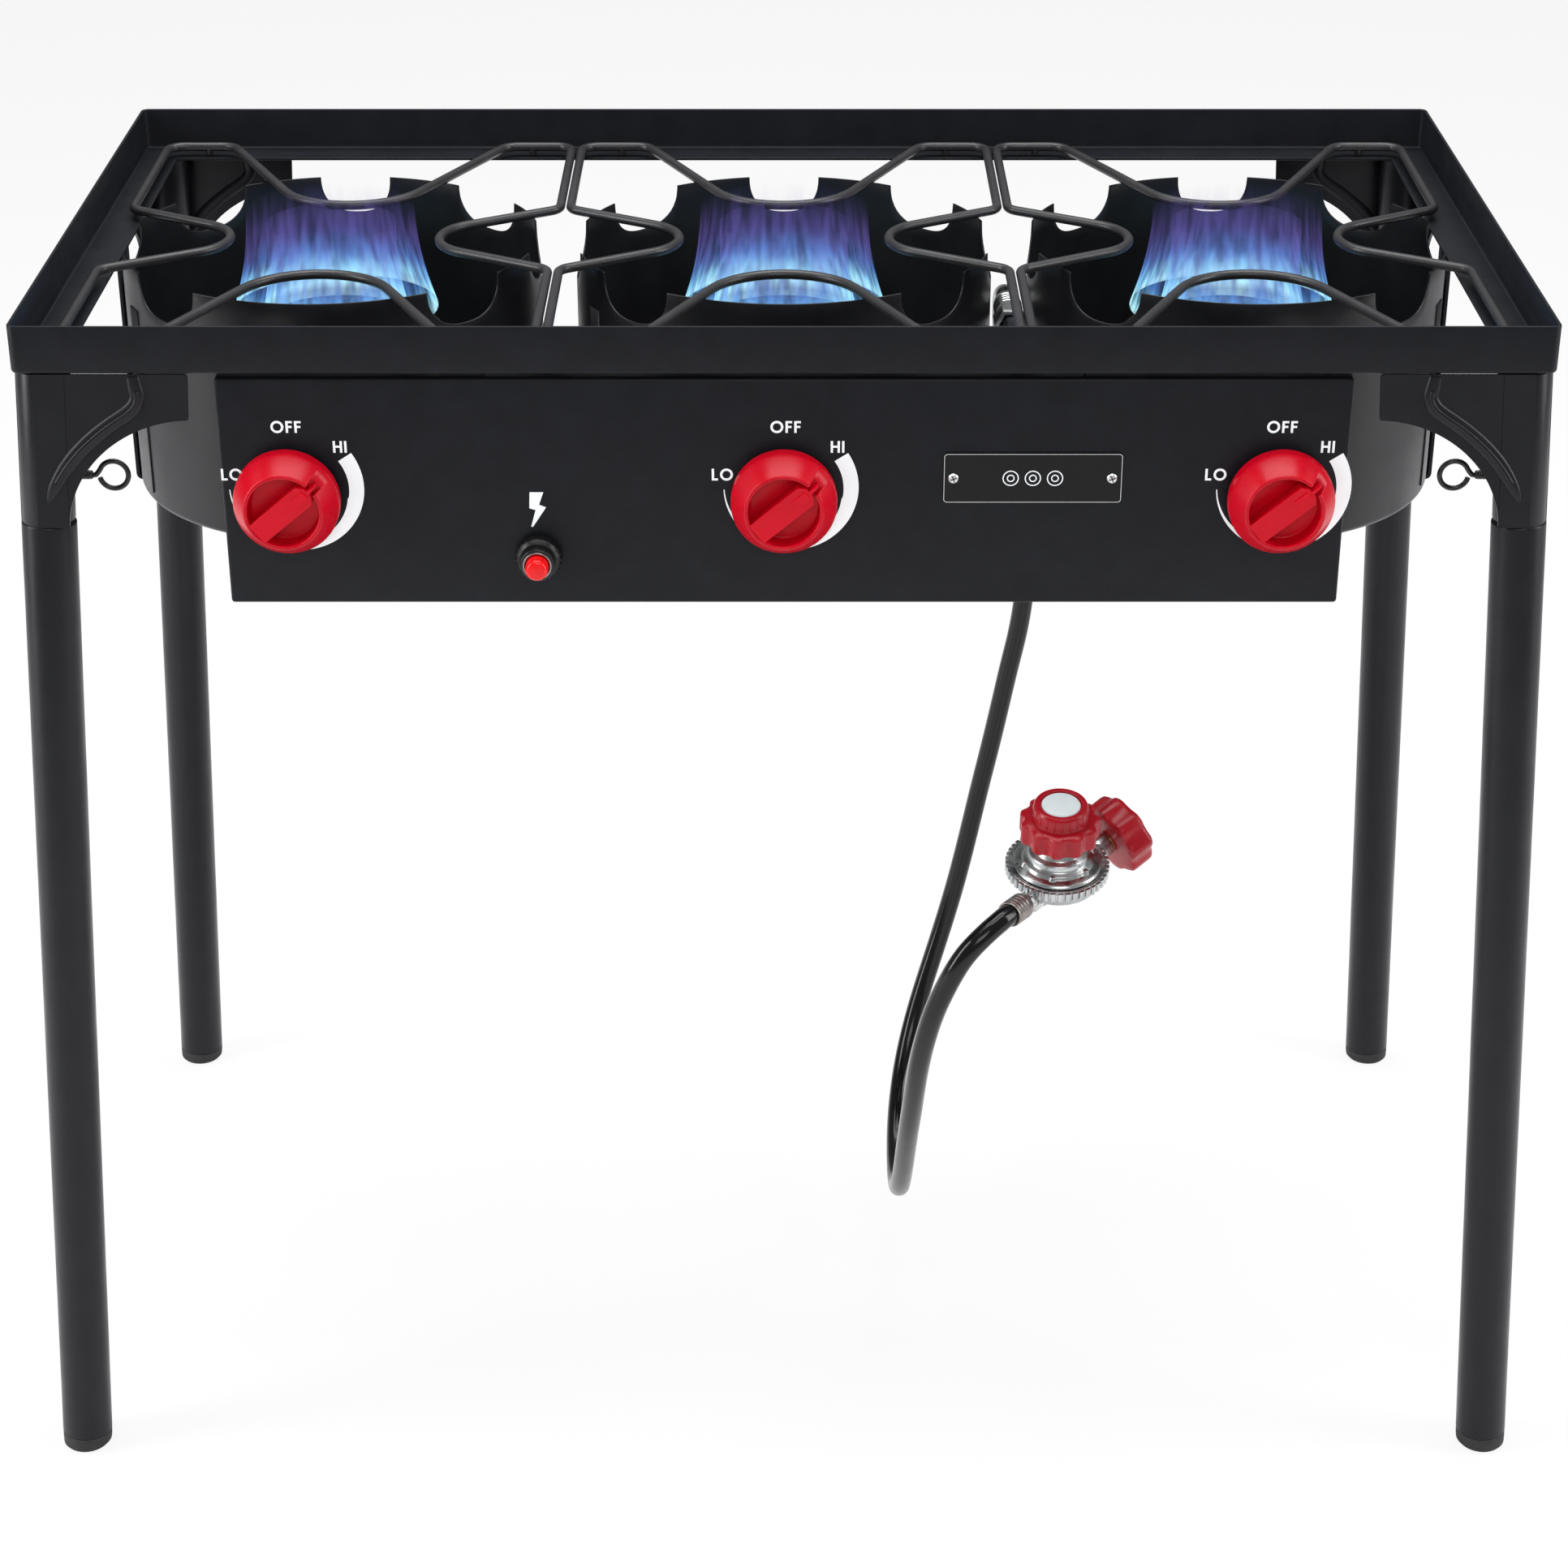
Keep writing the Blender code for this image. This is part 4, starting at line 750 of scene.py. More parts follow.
def burner_casting(side, x):
    bm = bmesh.new()
    axis = shift(x, BURNER_Y, 0)
    turn(bm, axis,
         [(0.0, HEAD_TOP - 0.0080), (0.0250, HEAD_TOP - 0.0080, 0.003),
          (0.0320, HEAD_TOP, 0.002), (HEAD_R - 0.0090, HEAD_TOP, 0.002),
          (HEAD_R, HEAD_TOP - 0.0070, 0.003), (HEAD_R, HEAD_LOW + 0.0080, 0.003),
          (0.0340, HEAD_LOW, 0.006), (0.0160, HEAD_LOW - 0.0060, 0.004),
          (0.0160, MIXER_Z - 0.0170, 0.003), (0.0080, MIXER_Z - 0.0210, 0.003),
          (0.0080, SHIELD_LOW), (0.0, SHIELD_LOW)], 72, arc=5)
    # collar for the mixer pipe
    turn(bm, aim((0, -1, 0), (x, BURNER_Y, MIXER_Z)),
         [(0.0131, 0.012), (0.0131, 0.034), (0.0158, 0.034, 0.001), (0.0158, 0.0)],
         40, arc=3)
    # raised lands between the flame ports
    land = fillet([(0.0400, -0.0024, 0.0008), (0.0585, -0.0030, 0.0008),
                   (0.0585, 0.0030, 0.0008), (0.0400, 0.0024, 0.0008)],
                  cyclic=True, arc=2)
    for place in around(axis, 36):
        prism(bm, land, HEAD_TOP - 0.001, HEAD_TOP + 0.0024, place)
    piece("burner_casting_" + side, bm, cast_iron, replaces="burner_head_" + side)


def burner_bolt(side, x):
    bm = bmesh.new()
    turn(bm, shift(x, BURNER_Y, 0),
         [(0, HEAD_TOP - 0.0020), (0.0060, HEAD_TOP - 0.0024, 0.0012),
          (0.0068, HEAD_TOP - 0.0080)], 6, arc=4)
    piece("burner_bolt_" + side, bm, steel)


def mixer_pipe(side, x):
    bm = bmesh.new()
    turn(bm, aim((0, -1, 0), (x, BURNER_Y - 0.013, MIXER_Z)),
         [(0.0165, 0.1640, 0.0006), (0.0165, 0.1600, 0.002), (0.0125, 0.1400, 0.012),
          (0.0125, 0.0), (0.0105, 0.0), (0.0100, 0.1400, 0.012),
          (0.0142, 0.1600, 0.002), (0.0142, 0.1640, 0.0006)], 40, arc=5, closed=True)
    piece("mixer_pipe_" + side, bm, cast_iron, replaces="mixer_tube_" + side)


def electrode_post(side, x):
    bm = bmesh.new()
    foot = SHIELD_LOW + 0.0014
    turn(bm, shift(x - 0.052, BURNER_Y - 0.052, 0),
         [(0, 0.686), (0.0009, 0.6855, 0.0004), (0.0009, 0.669),
          (0.0028, 0.669, 0.0006), (0.0028, foot), (0, foot)], 20, arc=3)
    piece("electrode_post_" + side, bm, ceramic,
          replaces="igniter_electrode_" + side)


for side, col in SIDES:
    for build in (burner_casting, burner_bolt, mixer_pipe, electrode_post):
        build(side, col * BURNER_PITCH)

# ---- Cross rail under the burners
RAIL_RISE_X, RAIL_T, RAIL_W = 0.4112, 0.0025, 0.0300
RAIL_TOP = SHIELD_LOW - 0.0004
RAIL_LOW = RAIL_TOP - RAIL_T

# each half runs out from x = 0, turns up, then out under the flange
under = fillet([(0.0, RAIL_LOW), (RAIL_RISE_X, RAIL_LOW, 0.0040),
                (RAIL_RISE_X, BRACKET_TOP - RAIL_T, 0.0012),
                (HALF_W - 0.0020, BRACKET_TOP - RAIL_T)], arc=5)
over = fillet([(0.0, RAIL_TOP), (RAIL_RISE_X - RAIL_T, RAIL_TOP, 0.0012),
               (RAIL_RISE_X - RAIL_T, BRACKET_TOP, 0.0040),
               (HALF_W - 0.0020, BRACKET_TOP)], arc=5)
bm = bmesh.new()
for sx in (-1, 1):
    place = Matrix(((sx, 0, 0, 0), (0, 0, 1, BURNER_Y - RAIL_W / 2),
                    (0, 1, 0, 0), (0, 0, 0, 1)))
    rows = [[bm.verts.new(place @ Vector((p[0], p[1], z)))
             for p, z in ((a, 0.0), (a, RAIL_W), (b, RAIL_W), (b, 0.0))]
            for a, b in zip(under, over)]
    skin(bm, rows)
    bm.faces.new(rows[-1])
bmesh.ops.remove_doubles(bm, verts=bm.verts, dist=1e-6)
piece("cross_rail_strap", bm, frame_powder, replaces="burner_cross_rail", bevel=0.0004)

# shield-to-rail fixing screws, with hexagons under the rail
bm = bmesh.new()
for side, col in SIDES:
    for off in (-0.075, 0.075):
        place = shift(col * BURNER_PITCH + off, BURNER_Y, 0)
        turn(bm, place,
             [(0, SHIELD_LOW + 0.0034), (0.0030, SHIELD_LOW + 0.0030, 0.001),
              (0.0040, SHIELD_LOW + 0.0010)], 20, arc=4)
        turn(bm, place, [(0, RAIL_LOW - 0.0032), (0.0036, RAIL_LOW - 0.0032),
                         (0.0036, RAIL_LOW + 0.0001)], 6)
piece("rail_fixings", bm, steel)

# ---- Control panel
bm = bmesh.new()
outline = [(-PANEL_W / 2, PANEL_LOW), (PANEL_W / 2, PANEL_LOW),
           (PANEL_W / 2, PANEL_TOP), (-PANEL_W / 2, PANEL_TOP)]
front, back = [[bm.verts.new((x, y, z)) for x, z in outline]
               for y in (PANEL_Y, PANEL_Y + 0.0140)]
bm.faces.new(front)
for i in range(4):
    j = (i + 1) % 4
    bm.faces.new((front[i], back[i], back[j], front[j]))
bmesh.ops.bevel(bm, geom=[e for e in bm.edges if not e.is_boundary], offset=0.0020,
                segments=5, affect='EDGES', profile=0.5)
piece("control_panel_sheet", bm, frame_powder, replaces="control_panel",
      solid=0.0015, angle=50)

# pads between the panel's top edge and the flange
bm = bmesh.new()
for sign in (-1, 1):
    x0, x1 = sign * 0.18 - 0.012, sign * 0.18 + 0.012
    y0, y1 = PANEL_Y + 0.0035, PANEL_Y + 0.013
    prism(bm, [(x0, y0), (x1, y0), (x1, y1), (x0, y1)],
          PANEL_TOP - 0.0006, BRACKET_TOP)
piece("control_panel_pads", bm, frame_powder)

# ---- Printed marks: thin raised ink
INK = 0.00012
INK_PLANE = panel_frame(0, PANEL_Y, 0)
LETTER_H = 0.0070
# word, z of its middle, x of its middle at the left, middle and right knob
LABELS = (("OFF", 0.6926, (-0.2793, 0.0009, 0.2793)),
          ("HI", 0.6807, (-0.2497, 0.0301, 0.3057)),
          ("LO", 0.6640, (-0.3117, -0.0348, 0.2437)))
ARC_R, ARC_Z, ARC_STEPS = 0.0382, 0.6562, 72
ARC_OFFSETS = (0.0049, 0.0040, 0.0021)   # arc centre's x from the knob's, by column
ARC_START, ARC_SWEEP = 57, 211           # degrees clockwise from the top
ARC_HEAD = 0.22                          # share of the sweep before the taper
# corners of the spark mark: x, z from its top left corner
SPARK = [(0.0, 0.0), (0.0077822, 0.0), (0.0051260, -0.0075152),
         (0.0090404, -0.0092232), (0.0013514, -0.0210328), (0.0002796, -0.0210328),
         (0.0030756, -0.0108336), (-0.0004194, -0.0097600)]


def glyph(letter, height):
    """Convex parts of a bold capital from F, H, I, L and O, and its width."""
    stroke = height * 0.190
    thin = stroke * 0.92                 # thickness of the level bars

    def bar(x0, z0, x1, z1):
        return [(x0, z0), (x1, z0), (x1, z1), (x0, z1)]

    stem = bar(0, 0, stroke, height)
    if letter == "I":
        return [stem], stroke
    if letter == "L":
        width = height * 0.50
        return [stem, bar(stroke, 0, width, thin)], width
    if letter == "F":
        width = height * 0.53
        low = height * 0.42
        return [stem, bar(stroke, low, width * 0.92, low + thin),
                bar(stroke, height - thin, width, height)], width
    if letter == "H":
        width = height * 0.74
        low = height * 0.43
        return [stem, bar(width - stroke, 0, width, height),
                bar(stroke, low, width - stroke, low + thin)], width
    radius = height * 0.52
    return band(circle(radius, height / 2, radius - stroke, 40),
                circle(radius, height / 2, radius, 40)), 2 * radius


def word(bm, text, x, z, height):
    gap = height * 0.17
    glyphs = [glyph(letter, height) for letter in text]
    left = x - (sum(width for _, width in glyphs) + gap * (len(text) - 1)) / 2
    for shapes, width in glyphs:
        for shape in shapes:
            prism(bm, [(left + u, z - height / 2 + v) for u, v in shape], 0, INK,
                  INK_PLANE)
        left += width + gap


def arc_width(share):
    """Width of a flame arc at a share of its sweep."""
    if share < ARC_HEAD:
        return 0.0090 - 0.0032 * share
    taper = (share - ARC_HEAD) / (1 - ARC_HEAD)
    return 0.0083 * (1 - taper) ** 1.25 + 0.00055


bm = bmesh.new()
for side, col in SIDES:
    for text, z, middles in LABELS:
        word(bm, text, middles[col + 1], z, LETTER_H)
piece("panel_control_labels", bm, print_white_painted_glow, smooth=False)

bm = bmesh.new()
for side, col in SIDES:
    arc_x = col * KNOB_PITCH + ARC_OFFSETS[col + 1]
    inner, outer = [], []
    for i in range(ARC_STEPS + 1):
        share = i / ARC_STEPS
        angle = math.radians(ARC_START + ARC_SWEEP * share)
        for line, radius in ((outer, ARC_R), (inner, ARC_R - arc_width(share))):
            line.append((arc_x + radius * math.sin(angle),
                         ARC_Z + radius * math.cos(angle)))
    for quad in band(inner, outer):
        prism(bm, quad, 0, INK, INK_PLANE)
piece("panel_flame_arcs", bm, print_white_painted_glow, smooth=False)

bm = bmesh.new()
for part in ((0, 1, 2, 6, 7), (2, 3, 4, 5, 6)):
    prism(bm, [SPARK[i] for i in part], 0, INK, panel_frame(-0.1440, PANEL_Y, 0.6533))
piece("panel_spark_mark", bm, print_white_painted_glow, smooth=False)

# ---- Knobs
KNOB_TURN = math.radians(50.0)           # clockwise from the top, seen from -Y
DISH_FLOOR, DISH_RIM, DISH_R = 0.0108, 0.0222, 0.0203


def cut_pointer_gap(knob, side, turned):
    """Cuts the pointer gap through the rim of the dish."""
    bm = bmesh.new()
    prism(bm, [(-0.0030, 0.0170), (0.0030, 0.0170), (0.0038, 0.0262),
               (-0.0038, 0.0262)], 0.0165, 0.0300, turned)
    cutter = new_object("pointer_gap_" + side, bm)
    mod = knob.modifiers.new("Gap", 'BOOLEAN')
    mod.operation = 'DIFFERENCE'
    mod.solver = 'EXACT'
    mod.object = cutter
    bpy.context.view_layer.update()
    graph = bpy.context.evaluated_depsgraph_get()
    mesh = bpy.data.meshes.new_from_object(knob.evaluated_get(graph))
    knob.modifiers.remove(mod)
    knob.data = mesh
    bpy.data.objects.remove(cutter, do_unlink=True)


def knob_shell(side, place, turned):
    bm = bmesh.new()
    turn(bm, place,
         [(0.0, DISH_FLOOR), (0.0196, DISH_FLOOR, 0.0012), (DISH_R, DISH_RIM, 0.0009),
          (0.0222, DISH_RIM, 0.0014), (0.0291, 0.0098, 0.0016),
          (0.0300, 0.0080, 0.0008), (0.0302, 0.0004, 0.0005),
          (0.0288, 0.0004, 0.0004), (0.0280, 0.0080, 0.001), (0.0, 0.0085)],
         96, arc=5)
    knob = piece("knob_shell_" + side, bm, knob_red, "knob_" + side, "knob_" + side,
                 angle=38)
    cut_pointer_gap(knob, side, turned)
    knob.data.materials.append(dish_red_painted_light.mat)
    to_local = place.inverted()
    for face in knob.data.polygons:      # floor and wall of the dish take the brighter red: painted light over the dish's shade
        c = to_local @ face.center
        if 0.0100 < c.z < DISH_RIM - 0.0001 and math.hypot(c.x, c.y) < DISH_R + 0.0001:
            face.material_index = 1


def knob_grip(side, turned):
    """Bar across the dish."""
    bm = bmesh.new()
    bar = fillet([(-0.0066, -0.0202, 0.001), (0.0066, -0.0202, 0.001),
                  (0.0066, 0.0160, 0.001), (0.0030, 0.0190, 0.0008),
                  (-0.0030, 0.0190, 0.0008), (-0.0066, 0.0160, 0.001)],
                 cyclic=True, arc=3)
    prism(bm, bar, 0.0105, 0.0221, turned)
    # the bar takes the brighter dish red: painted light
    piece("knob_grip_" + side, bm, dish_red_painted_light, "knob_" + side, bevel=0.0007,
          bevel_steps=3)


def knob_pointer(side, turned):
    bm = bmesh.new()
    prism(bm, fillet([(-0.0024, 0.0080, 0.0006), (0.0024, 0.0080, 0.0006),
                      (0.0024, 0.0172, 0.0006), (-0.0024, 0.0172, 0.0006)],
                     cyclic=True, arc=3), 0.0214, 0.0231, turned)
    prism(bm, fillet([(-0.0012, 0.0186, 0.0003), (0.0012, 0.0186, 0.0003),
                      (0.0004, 0.0246, 0.0003), (-0.0004, 0.0246, 0.0003)],
                     cyclic=True, arc=3), 0.0150, 0.0222, turned)
    # the pointer takes the brighter dish red: painted light
    piece("knob_pointer_" + side, bm, dish_red_painted_light, "knob_" + side, bevel=0.0003)


for side, col in SIDES:
    place = panel_frame(col * KNOB_PITCH, PANEL_Y - 0.0030, KNOB_Z)
    turned = place @ Matrix.Rotation(-KNOB_TURN, 4, 'Z')
    knob_shell(side, place, turned)
    knob_grip(side, turned)
    knob_pointer(side, turned)

# ---- Igniter
IGNITER = panel_frame(-0.1400, PANEL_Y, 0.6142)

bm = bmesh.new()
turn(bm, IGNITER,
     [(0.0089, 0.0004), (0.0130, 0.0004, 0.0004), (0.0128, 0.0062, 0.0008),
      (0.0108, 0.0086, 0.0006), (0.0089, 0.0086, 0.0004)], 64, arc=4, closed=True)
for place in around(IGNITER, 24, 0.0128):        # grip ribs round the nut
    turn(bm, place, [(0.0, 0.0060), (0.0006, 0.0058), (0.0007, 0.0008), (0.0, 0.0006)],
         8)
piece("igniter_bezel", bm, black_plastic, replaces="igniter_nut")

bm = bmesh.new()
turn(bm, IGNITER,
     [(0.0071, -0.005), (0.0071, 0.0145), (0.0098, 0.0142, 0.0012),
      (0.0098, 0.0088, 0.0004), (0.0086, 0.0080), (0.0086, -0.002),
      (0.0112, -0.0022, 0.001), (0.0112, -0.0420, 0.001), (0.0085, -0.0425),
      (0.0085, -0.0480, 0.001), (0.0, -0.0480)], 48, arc=4)
piece("igniter_barrel", bm, black_plastic, replaces="igniter_body")

bm = bmesh.new()
turn(bm, IGNITER,
     [(0.0071, 0.0143), (0.0083, 0.0143, 0.0004), (0.0082, 0.0153, 0.0005),
      (0.0071, 0.0153, 0.0003)], 56, arc=4, closed=True)
piece("igniter_ring", bm, crimped)

bm = bmesh.new()
turn(bm, IGNITER,
     [(0.0, 0.0232), (0.0052, 0.0229, 0.0022), (0.0065, 0.0205, 0.0012),
      (0.0067, 0.0052, 0.0003), (0.0, 0.0052)], 56, arc=6)
piece("igniter_cap", bm, button_red, "igniter_button", "igniter_button")

# ---- Nameplate
PLATE_Z = 0.6623
PLATE = panel_frame(0.1404, PANEL_Y - 0.0004, PLATE_Z)
PLATE_HALF_W, PLATE_HALF_H = 0.0503, 0.0147

bm = bmesh.new()
prism(bm, round_rect(PLATE_HALF_W, PLATE_HALF_H, 0.0020), 0, 0.0010, PLATE)
piece("nameplate_blank", bm, gloss_black, replaces="nameplate", bevel=0.0002)

bm = bmesh.new()
outer, inner = [round_rect(PLATE_HALF_W - inset, PLATE_HALF_H - inset, radius)
                for inset, radius in ((0.0001, 0.0019), (0.00042, 0.0016))]
for quad in band(inner + inner[:1], outer + outer[:1]):
    prism(bm, quad, 0.0009, 0.00106, PLATE)
piece("nameplate_border", bm, steel, smooth=False)

bm = bmesh.new()
for x in (-0.0125, 0.0, 0.0125):          # three pairs of rings
    for outer_r, inner_r in ((0.0046, 0.0040), (0.0022, 0.0016)):
        for quad in band(circle(x, 0.0, inner_r, 36), circle(x, 0.0, outer_r, 36)):
            prism(bm, quad, 0.0009, 0.00108, PLATE)
piece("nameplate_rings", bm, print_white_painted_glow, smooth=False)

for side, sign in (("left", -1), ("right", 1)):
    place = panel_frame(0.1403 + sign * 0.0448, PANEL_Y, PLATE_Z)
    bm = bmesh.new()
    turn(bm, place,
         [(0, 0.0033), (0.0022, 0.0031, 0.0006), (0.0031, 0.0020, 0.0004),
          (0.0031, 0.0016), (0.0016, 0.0016), (0.0016, -0.004), (0, -0.004)],
         32, arc=4)
    piece("plate_screw_" + side, bm, steel, replaces="nameplate_rivet_" + side)
    bm = bmesh.new()
    for angle in (0.35, 0.35 + math.pi / 2):     # cross slot: a thin black slab, painted shade where the recess would be dark
        prism(bm, [(-0.0019, -0.00032), (0.0019, -0.00032), (0.0019, 0.00032),
                   (-0.0019, 0.00032)], 0.0030, 0.00338,
              place @ Matrix.Rotation(angle, 4, 'Z'))
    piece("plate_screw_slot_painted_shade_" + side, bm, black_plastic, smooth=False)

# ---- Gas hose, from the manifold stub down to the regulator
STUB_X, STUB_Z = 0.1398, 0.6825
STUB_END = Vector((STUB_X, -0.0140, STUB_Z))
REGULATOR_AT = Vector((0.1680, -0.1700, 0.3880))
REGULATOR = (Matrix.Translation(REGULATOR_AT)
             @ Matrix.Rotation(math.radians(10.5), 4, 'X'))
OUTLET = REGULATOR @ Vector((-0.0060, -0.0095, -0.0100))
ferrule_at = REGULATOR_AT + Vector((-0.0265, -0.0350, -0.0115))
hose_dir = (OUTLET - ferrule_at).normalized()
hose_end = ferrule_at + hose_dir * 0.0080
# stations along the hose: x, y, z
HOSE = [STUB_END + Vector((0, 0.0004, 0)),
        (STUB_X, 0.0280, STUB_Z), (STUB_X, 0.0400, STUB_Z),
        (0.1402, 0.0680, 0.6730), (0.1418, 0.0900, 0.6470), (0.1465, 0.1020, 0.6080),
        (0.1560, 0.1080, 0.5560), (0.1630, 0.1100, 0.5050), (0.1648, 0.1100, 0.4620),
        (0.1613, 0.1100, 0.4232), (0.1553, 0.1100, 0.3925), (0.1497, 0.1100, 0.3615),
        (0.1438, 0.1100, 0.3300), (0.1373, 0.1100, 0.2980), (0.1294, 0.1090, 0.2570),
        (0.1208, 0.1060, 0.2180), (0.1092, 0.0990, 0.1770), (0.0960, 0.0880, 0.1350),
        (0.0856, 0.0650, 0.1005), (0.0800, 0.0300, 0.0745), (0.0788, -0.0150, 0.0610),
        (0.0794, -0.0500, 0.0690), (0.0799, -0.0900, 0.1080),
        (0.0806, -0.1400, 0.1700), (0.0820, -0.1700, 0.2120),
        (0.0840, -0.2030, 0.2650), (0.0900, -0.2220, 0.3085),
        (0.0979, -0.2300, 0.3359), (0.1075, -0.2315, 0.3570),
        (0.1190, -0.2280, 0.3695), ferrule_at - hose_dir * 0.0160]
HELD_START, HELD_END = 18, 6             # points at the ends that smoothing leaves

path = smooth_path(HOSE, 8)
for _ in range(14):                      # even out the bends
    middle = [(path[i - 1] + 2 * path[i] + path[i + 1]) / 4
              for i in range(HELD_START, len(path) - HELD_END)]
    path = path[:HELD_START] + middle + path[-HELD_END:]
bm = bmesh.new()
sweep(bm, path + [hose_end], 0.0067, 28)
piece("hose_rubber", bm, hose_rubber, replaces="gas_hose")

bm = bmesh.new()
place = aim((0, 1, 0), STUB_END + Vector((0, -0.001, 0)))
turn(bm, place, [(0.0071, 0.0400), (0.0086, 0.0400, 0.0006), (0.0086, 0.0185),
                 (0.0071, 0.0185)], 40, arc=3, closed=True)
turn(bm, place, [(0.0071, 0.0180), (0.0102, 0.0180, 0.0010), (0.0102, 0.0, 0.0010),
                 (0.0071, 0.0)], 6, arc=2, closed=True)
for i in range(4):                       # ridges round the sleeve
    z = 0.0225 + 0.0042 * i
    turn(bm, place, [(0.0085, z - 0.0008), (0.0089, z), (0.0085, z + 0.0008)], 40)
piece("swivel_nut_hex", bm, zinc, replaces="hose_swivel_nut", angle=30)

bm = bmesh.new()
profile = [(0.0071, -0.0120), (0.0079, -0.0120), (0.0081, -0.0116)]
for i in range(4):                       # crimp grooves
    z = -0.0100 + 0.0030 * i
    profile += [(0.0081, z - 0.0010), (0.0077, z - 0.0005), (0.0077, z + 0.0005),
                (0.0081, z + 0.0010)]
profile += [(0.0081, 0.0026), (0.0079, 0.0030), (0.0071, 0.0030)]
turn(bm, aim(hose_dir, hose_end - hose_dir * 0.0050), profile, 40, closed=True)
piece("ferrule_crimped", bm, crimped, replaces="hose_ferrule")

# ---- Regulator and tank nut
INLET = REGULATOR @ Vector((0.0100, 0.0077, -0.0105))
nut_at = REGULATOR @ Vector((0.0400, 0.0310, 0.0))
inlet_dir = (nut_at - INLET).normalized()
nut_rear = nut_at - inlet_dir * 0.0090
TANK_NUT = aim(inlet_dir, nut_rear)


def lobed_turn(bm, place, rows, radius, swing, lobes, points):
    """Stack of lobed outlines; rows are (scale, z, share of the swing)."""
    rings = []
    for scale, z, share in rows:
        ring = []
        for i in range(points):
            angle = math.tau * i / points
            wave = math.cos(lobes * angle)
            r = radius + swing * share * math.copysign(abs(wave) ** 0.8, wave)
            ring.append(bm.verts.new(place @ Vector((
                r * math.cos(angle) * scale, r * math.sin(angle) * scale, z))))
        rings.append(ring)
    skin(bm, rings)
    bm.faces.new(rings[0][::-1])
    bm.faces.new(rings[-1])


bm = bmesh.new()
turn(bm, REGULATOR,
     [(0.0, 0.0018), (0.0272, 0.0018), (0.0300, 0.0024, 0.0004),
      (0.0308, 0.0006, 0.0008), (0.0306, -0.0034, 0.0008), (0.0285, -0.0050, 0.001),
      (0.0262, -0.0110, 0.003), (0.0150, -0.0175, 0.004), (0.0, -0.0180)], 88, arc=5)
tooth = fillet([(-0.0020, -0.0016, 0.0006), (0.0015, -0.0016, 0.0007),
                (0.0015, 0.0016, 0.0007), (-0.0020, 0.0016, 0.0006)],
               cyclic=True, arc=2)
for place in around(REGULATOR, 44, 0.0305):      # crimp teeth round the rim
    prism(bm, tooth, -0.0036, 0.0022, place)
# outlet stub with its hexagon
place = aim(hose_end - OUTLET, OUTLET)
length = (hose_end - OUTLET).length
turn(bm, place, [(0.0, 0.0), (0.0084, 0.0), (0.0084, length * 0.42, 0.001),
                 (0.0062, length * 0.42), (0.0062, length - 0.0004, 0.0004),
                 (0.0, length - 0.0004)], 36, arc=3)
turn(bm, place, [(0.0, length * 0.42), (0.0084, length * 0.42, 0.0008),
                 (0.0084, length * 0.78, 0.0008), (0.0, length * 0.78)], 6, arc=2)
# inlet stub
length = (nut_rear - INLET).length
turn(bm, aim(inlet_dir, INLET),
     [(0.0, 0.0), (0.0085, 0.0), (0.0085, length * 0.5, 0.001),
      (0.0075, length * 0.55), (0.0075, length - 0.001, 0.0006),
      (0.0, length - 0.001)], 36, arc=3)
piece("regulator_shell", bm, zinc, replaces="regulator_body", angle=30)

bm = bmesh.new()
turn(bm, REGULATOR,
     [(0.0, 0.0222), (0.0118, 0.0222), (0.0128, 0.0180, 0.001),
      (0.0150, 0.0138, 0.002), (0.0182, 0.0120, 0.0015), (0.0188, 0.0086, 0.002),
      (0.0215, 0.0070, 0.001), (0.0222, 0.0052, 0.001), (0.0262, 0.0044, 0.001),
      (0.0272, 0.0034, 0.0006), (0.0276, 0.0024, 0.0003), (0.0, 0.0022)], 80, arc=5)
for place in around(REGULATOR, 6, 0.0215, phase=0.3):    # stamped lugs
    turn(bm, place, [(0, 0.0080), (0.0016, 0.0076, 0.0008), (0.0026, 0.0050)],
         20, arc=4)
piece("regulator_cover", bm, zinc, replaces="regulator_bonnet", angle=34)

bm = bmesh.new()
lobed_turn(bm, REGULATOR,
           [(0.90, 0.0228, 0.6), (0.97, 0.0230, 0.9), (0.995, 0.0238, 1.0),
            (1.0, 0.0250, 1.0), (1.0, 0.0350, 1.0), (0.985, 0.0362, 1.0),
            (0.95, 0.0369, 0.7), (0.86, 0.0374, 0.3), (0.74, 0.0376, 0.0)],
           radius=0.0235, swing=0.0014, lobes=11, points=154)
turn(bm, REGULATOR,
     [(0.0178, 0.0370, 0.0008), (0.0170, 0.0395, 0.002), (0.0168, 0.0455, 0.0008),
      (0.0158, 0.0474, 0.0008), (0.0128, 0.0474, 0.0004), (0.0126, 0.0460),
      (0.0, 0.0460)], 72, arc=5)
for place in around(REGULATOR, 22, 0.0168, phase=0.5):   # ribs round the raised cap
    turn(bm, place, [(0, 0.0455), (0.0005, 0.0452, 0.0002), (0.0006, 0.0385)],
         8, arc=2)
piece("regulator_hand_knob", bm, regulator_red, "regulator_knob", "regulator_knob",
      angle=34)

bm = bmesh.new()
turn(bm, REGULATOR, [(0.0, 0.0475), (0.0112, 0.0473, 0.0005), (0.0119, 0.0466),
                     (0.0119, 0.0461)], 64, arc=4)
piece("regulator_pad_disc", bm, white_pad, "regulator_knob", "regulator_cap_disc")

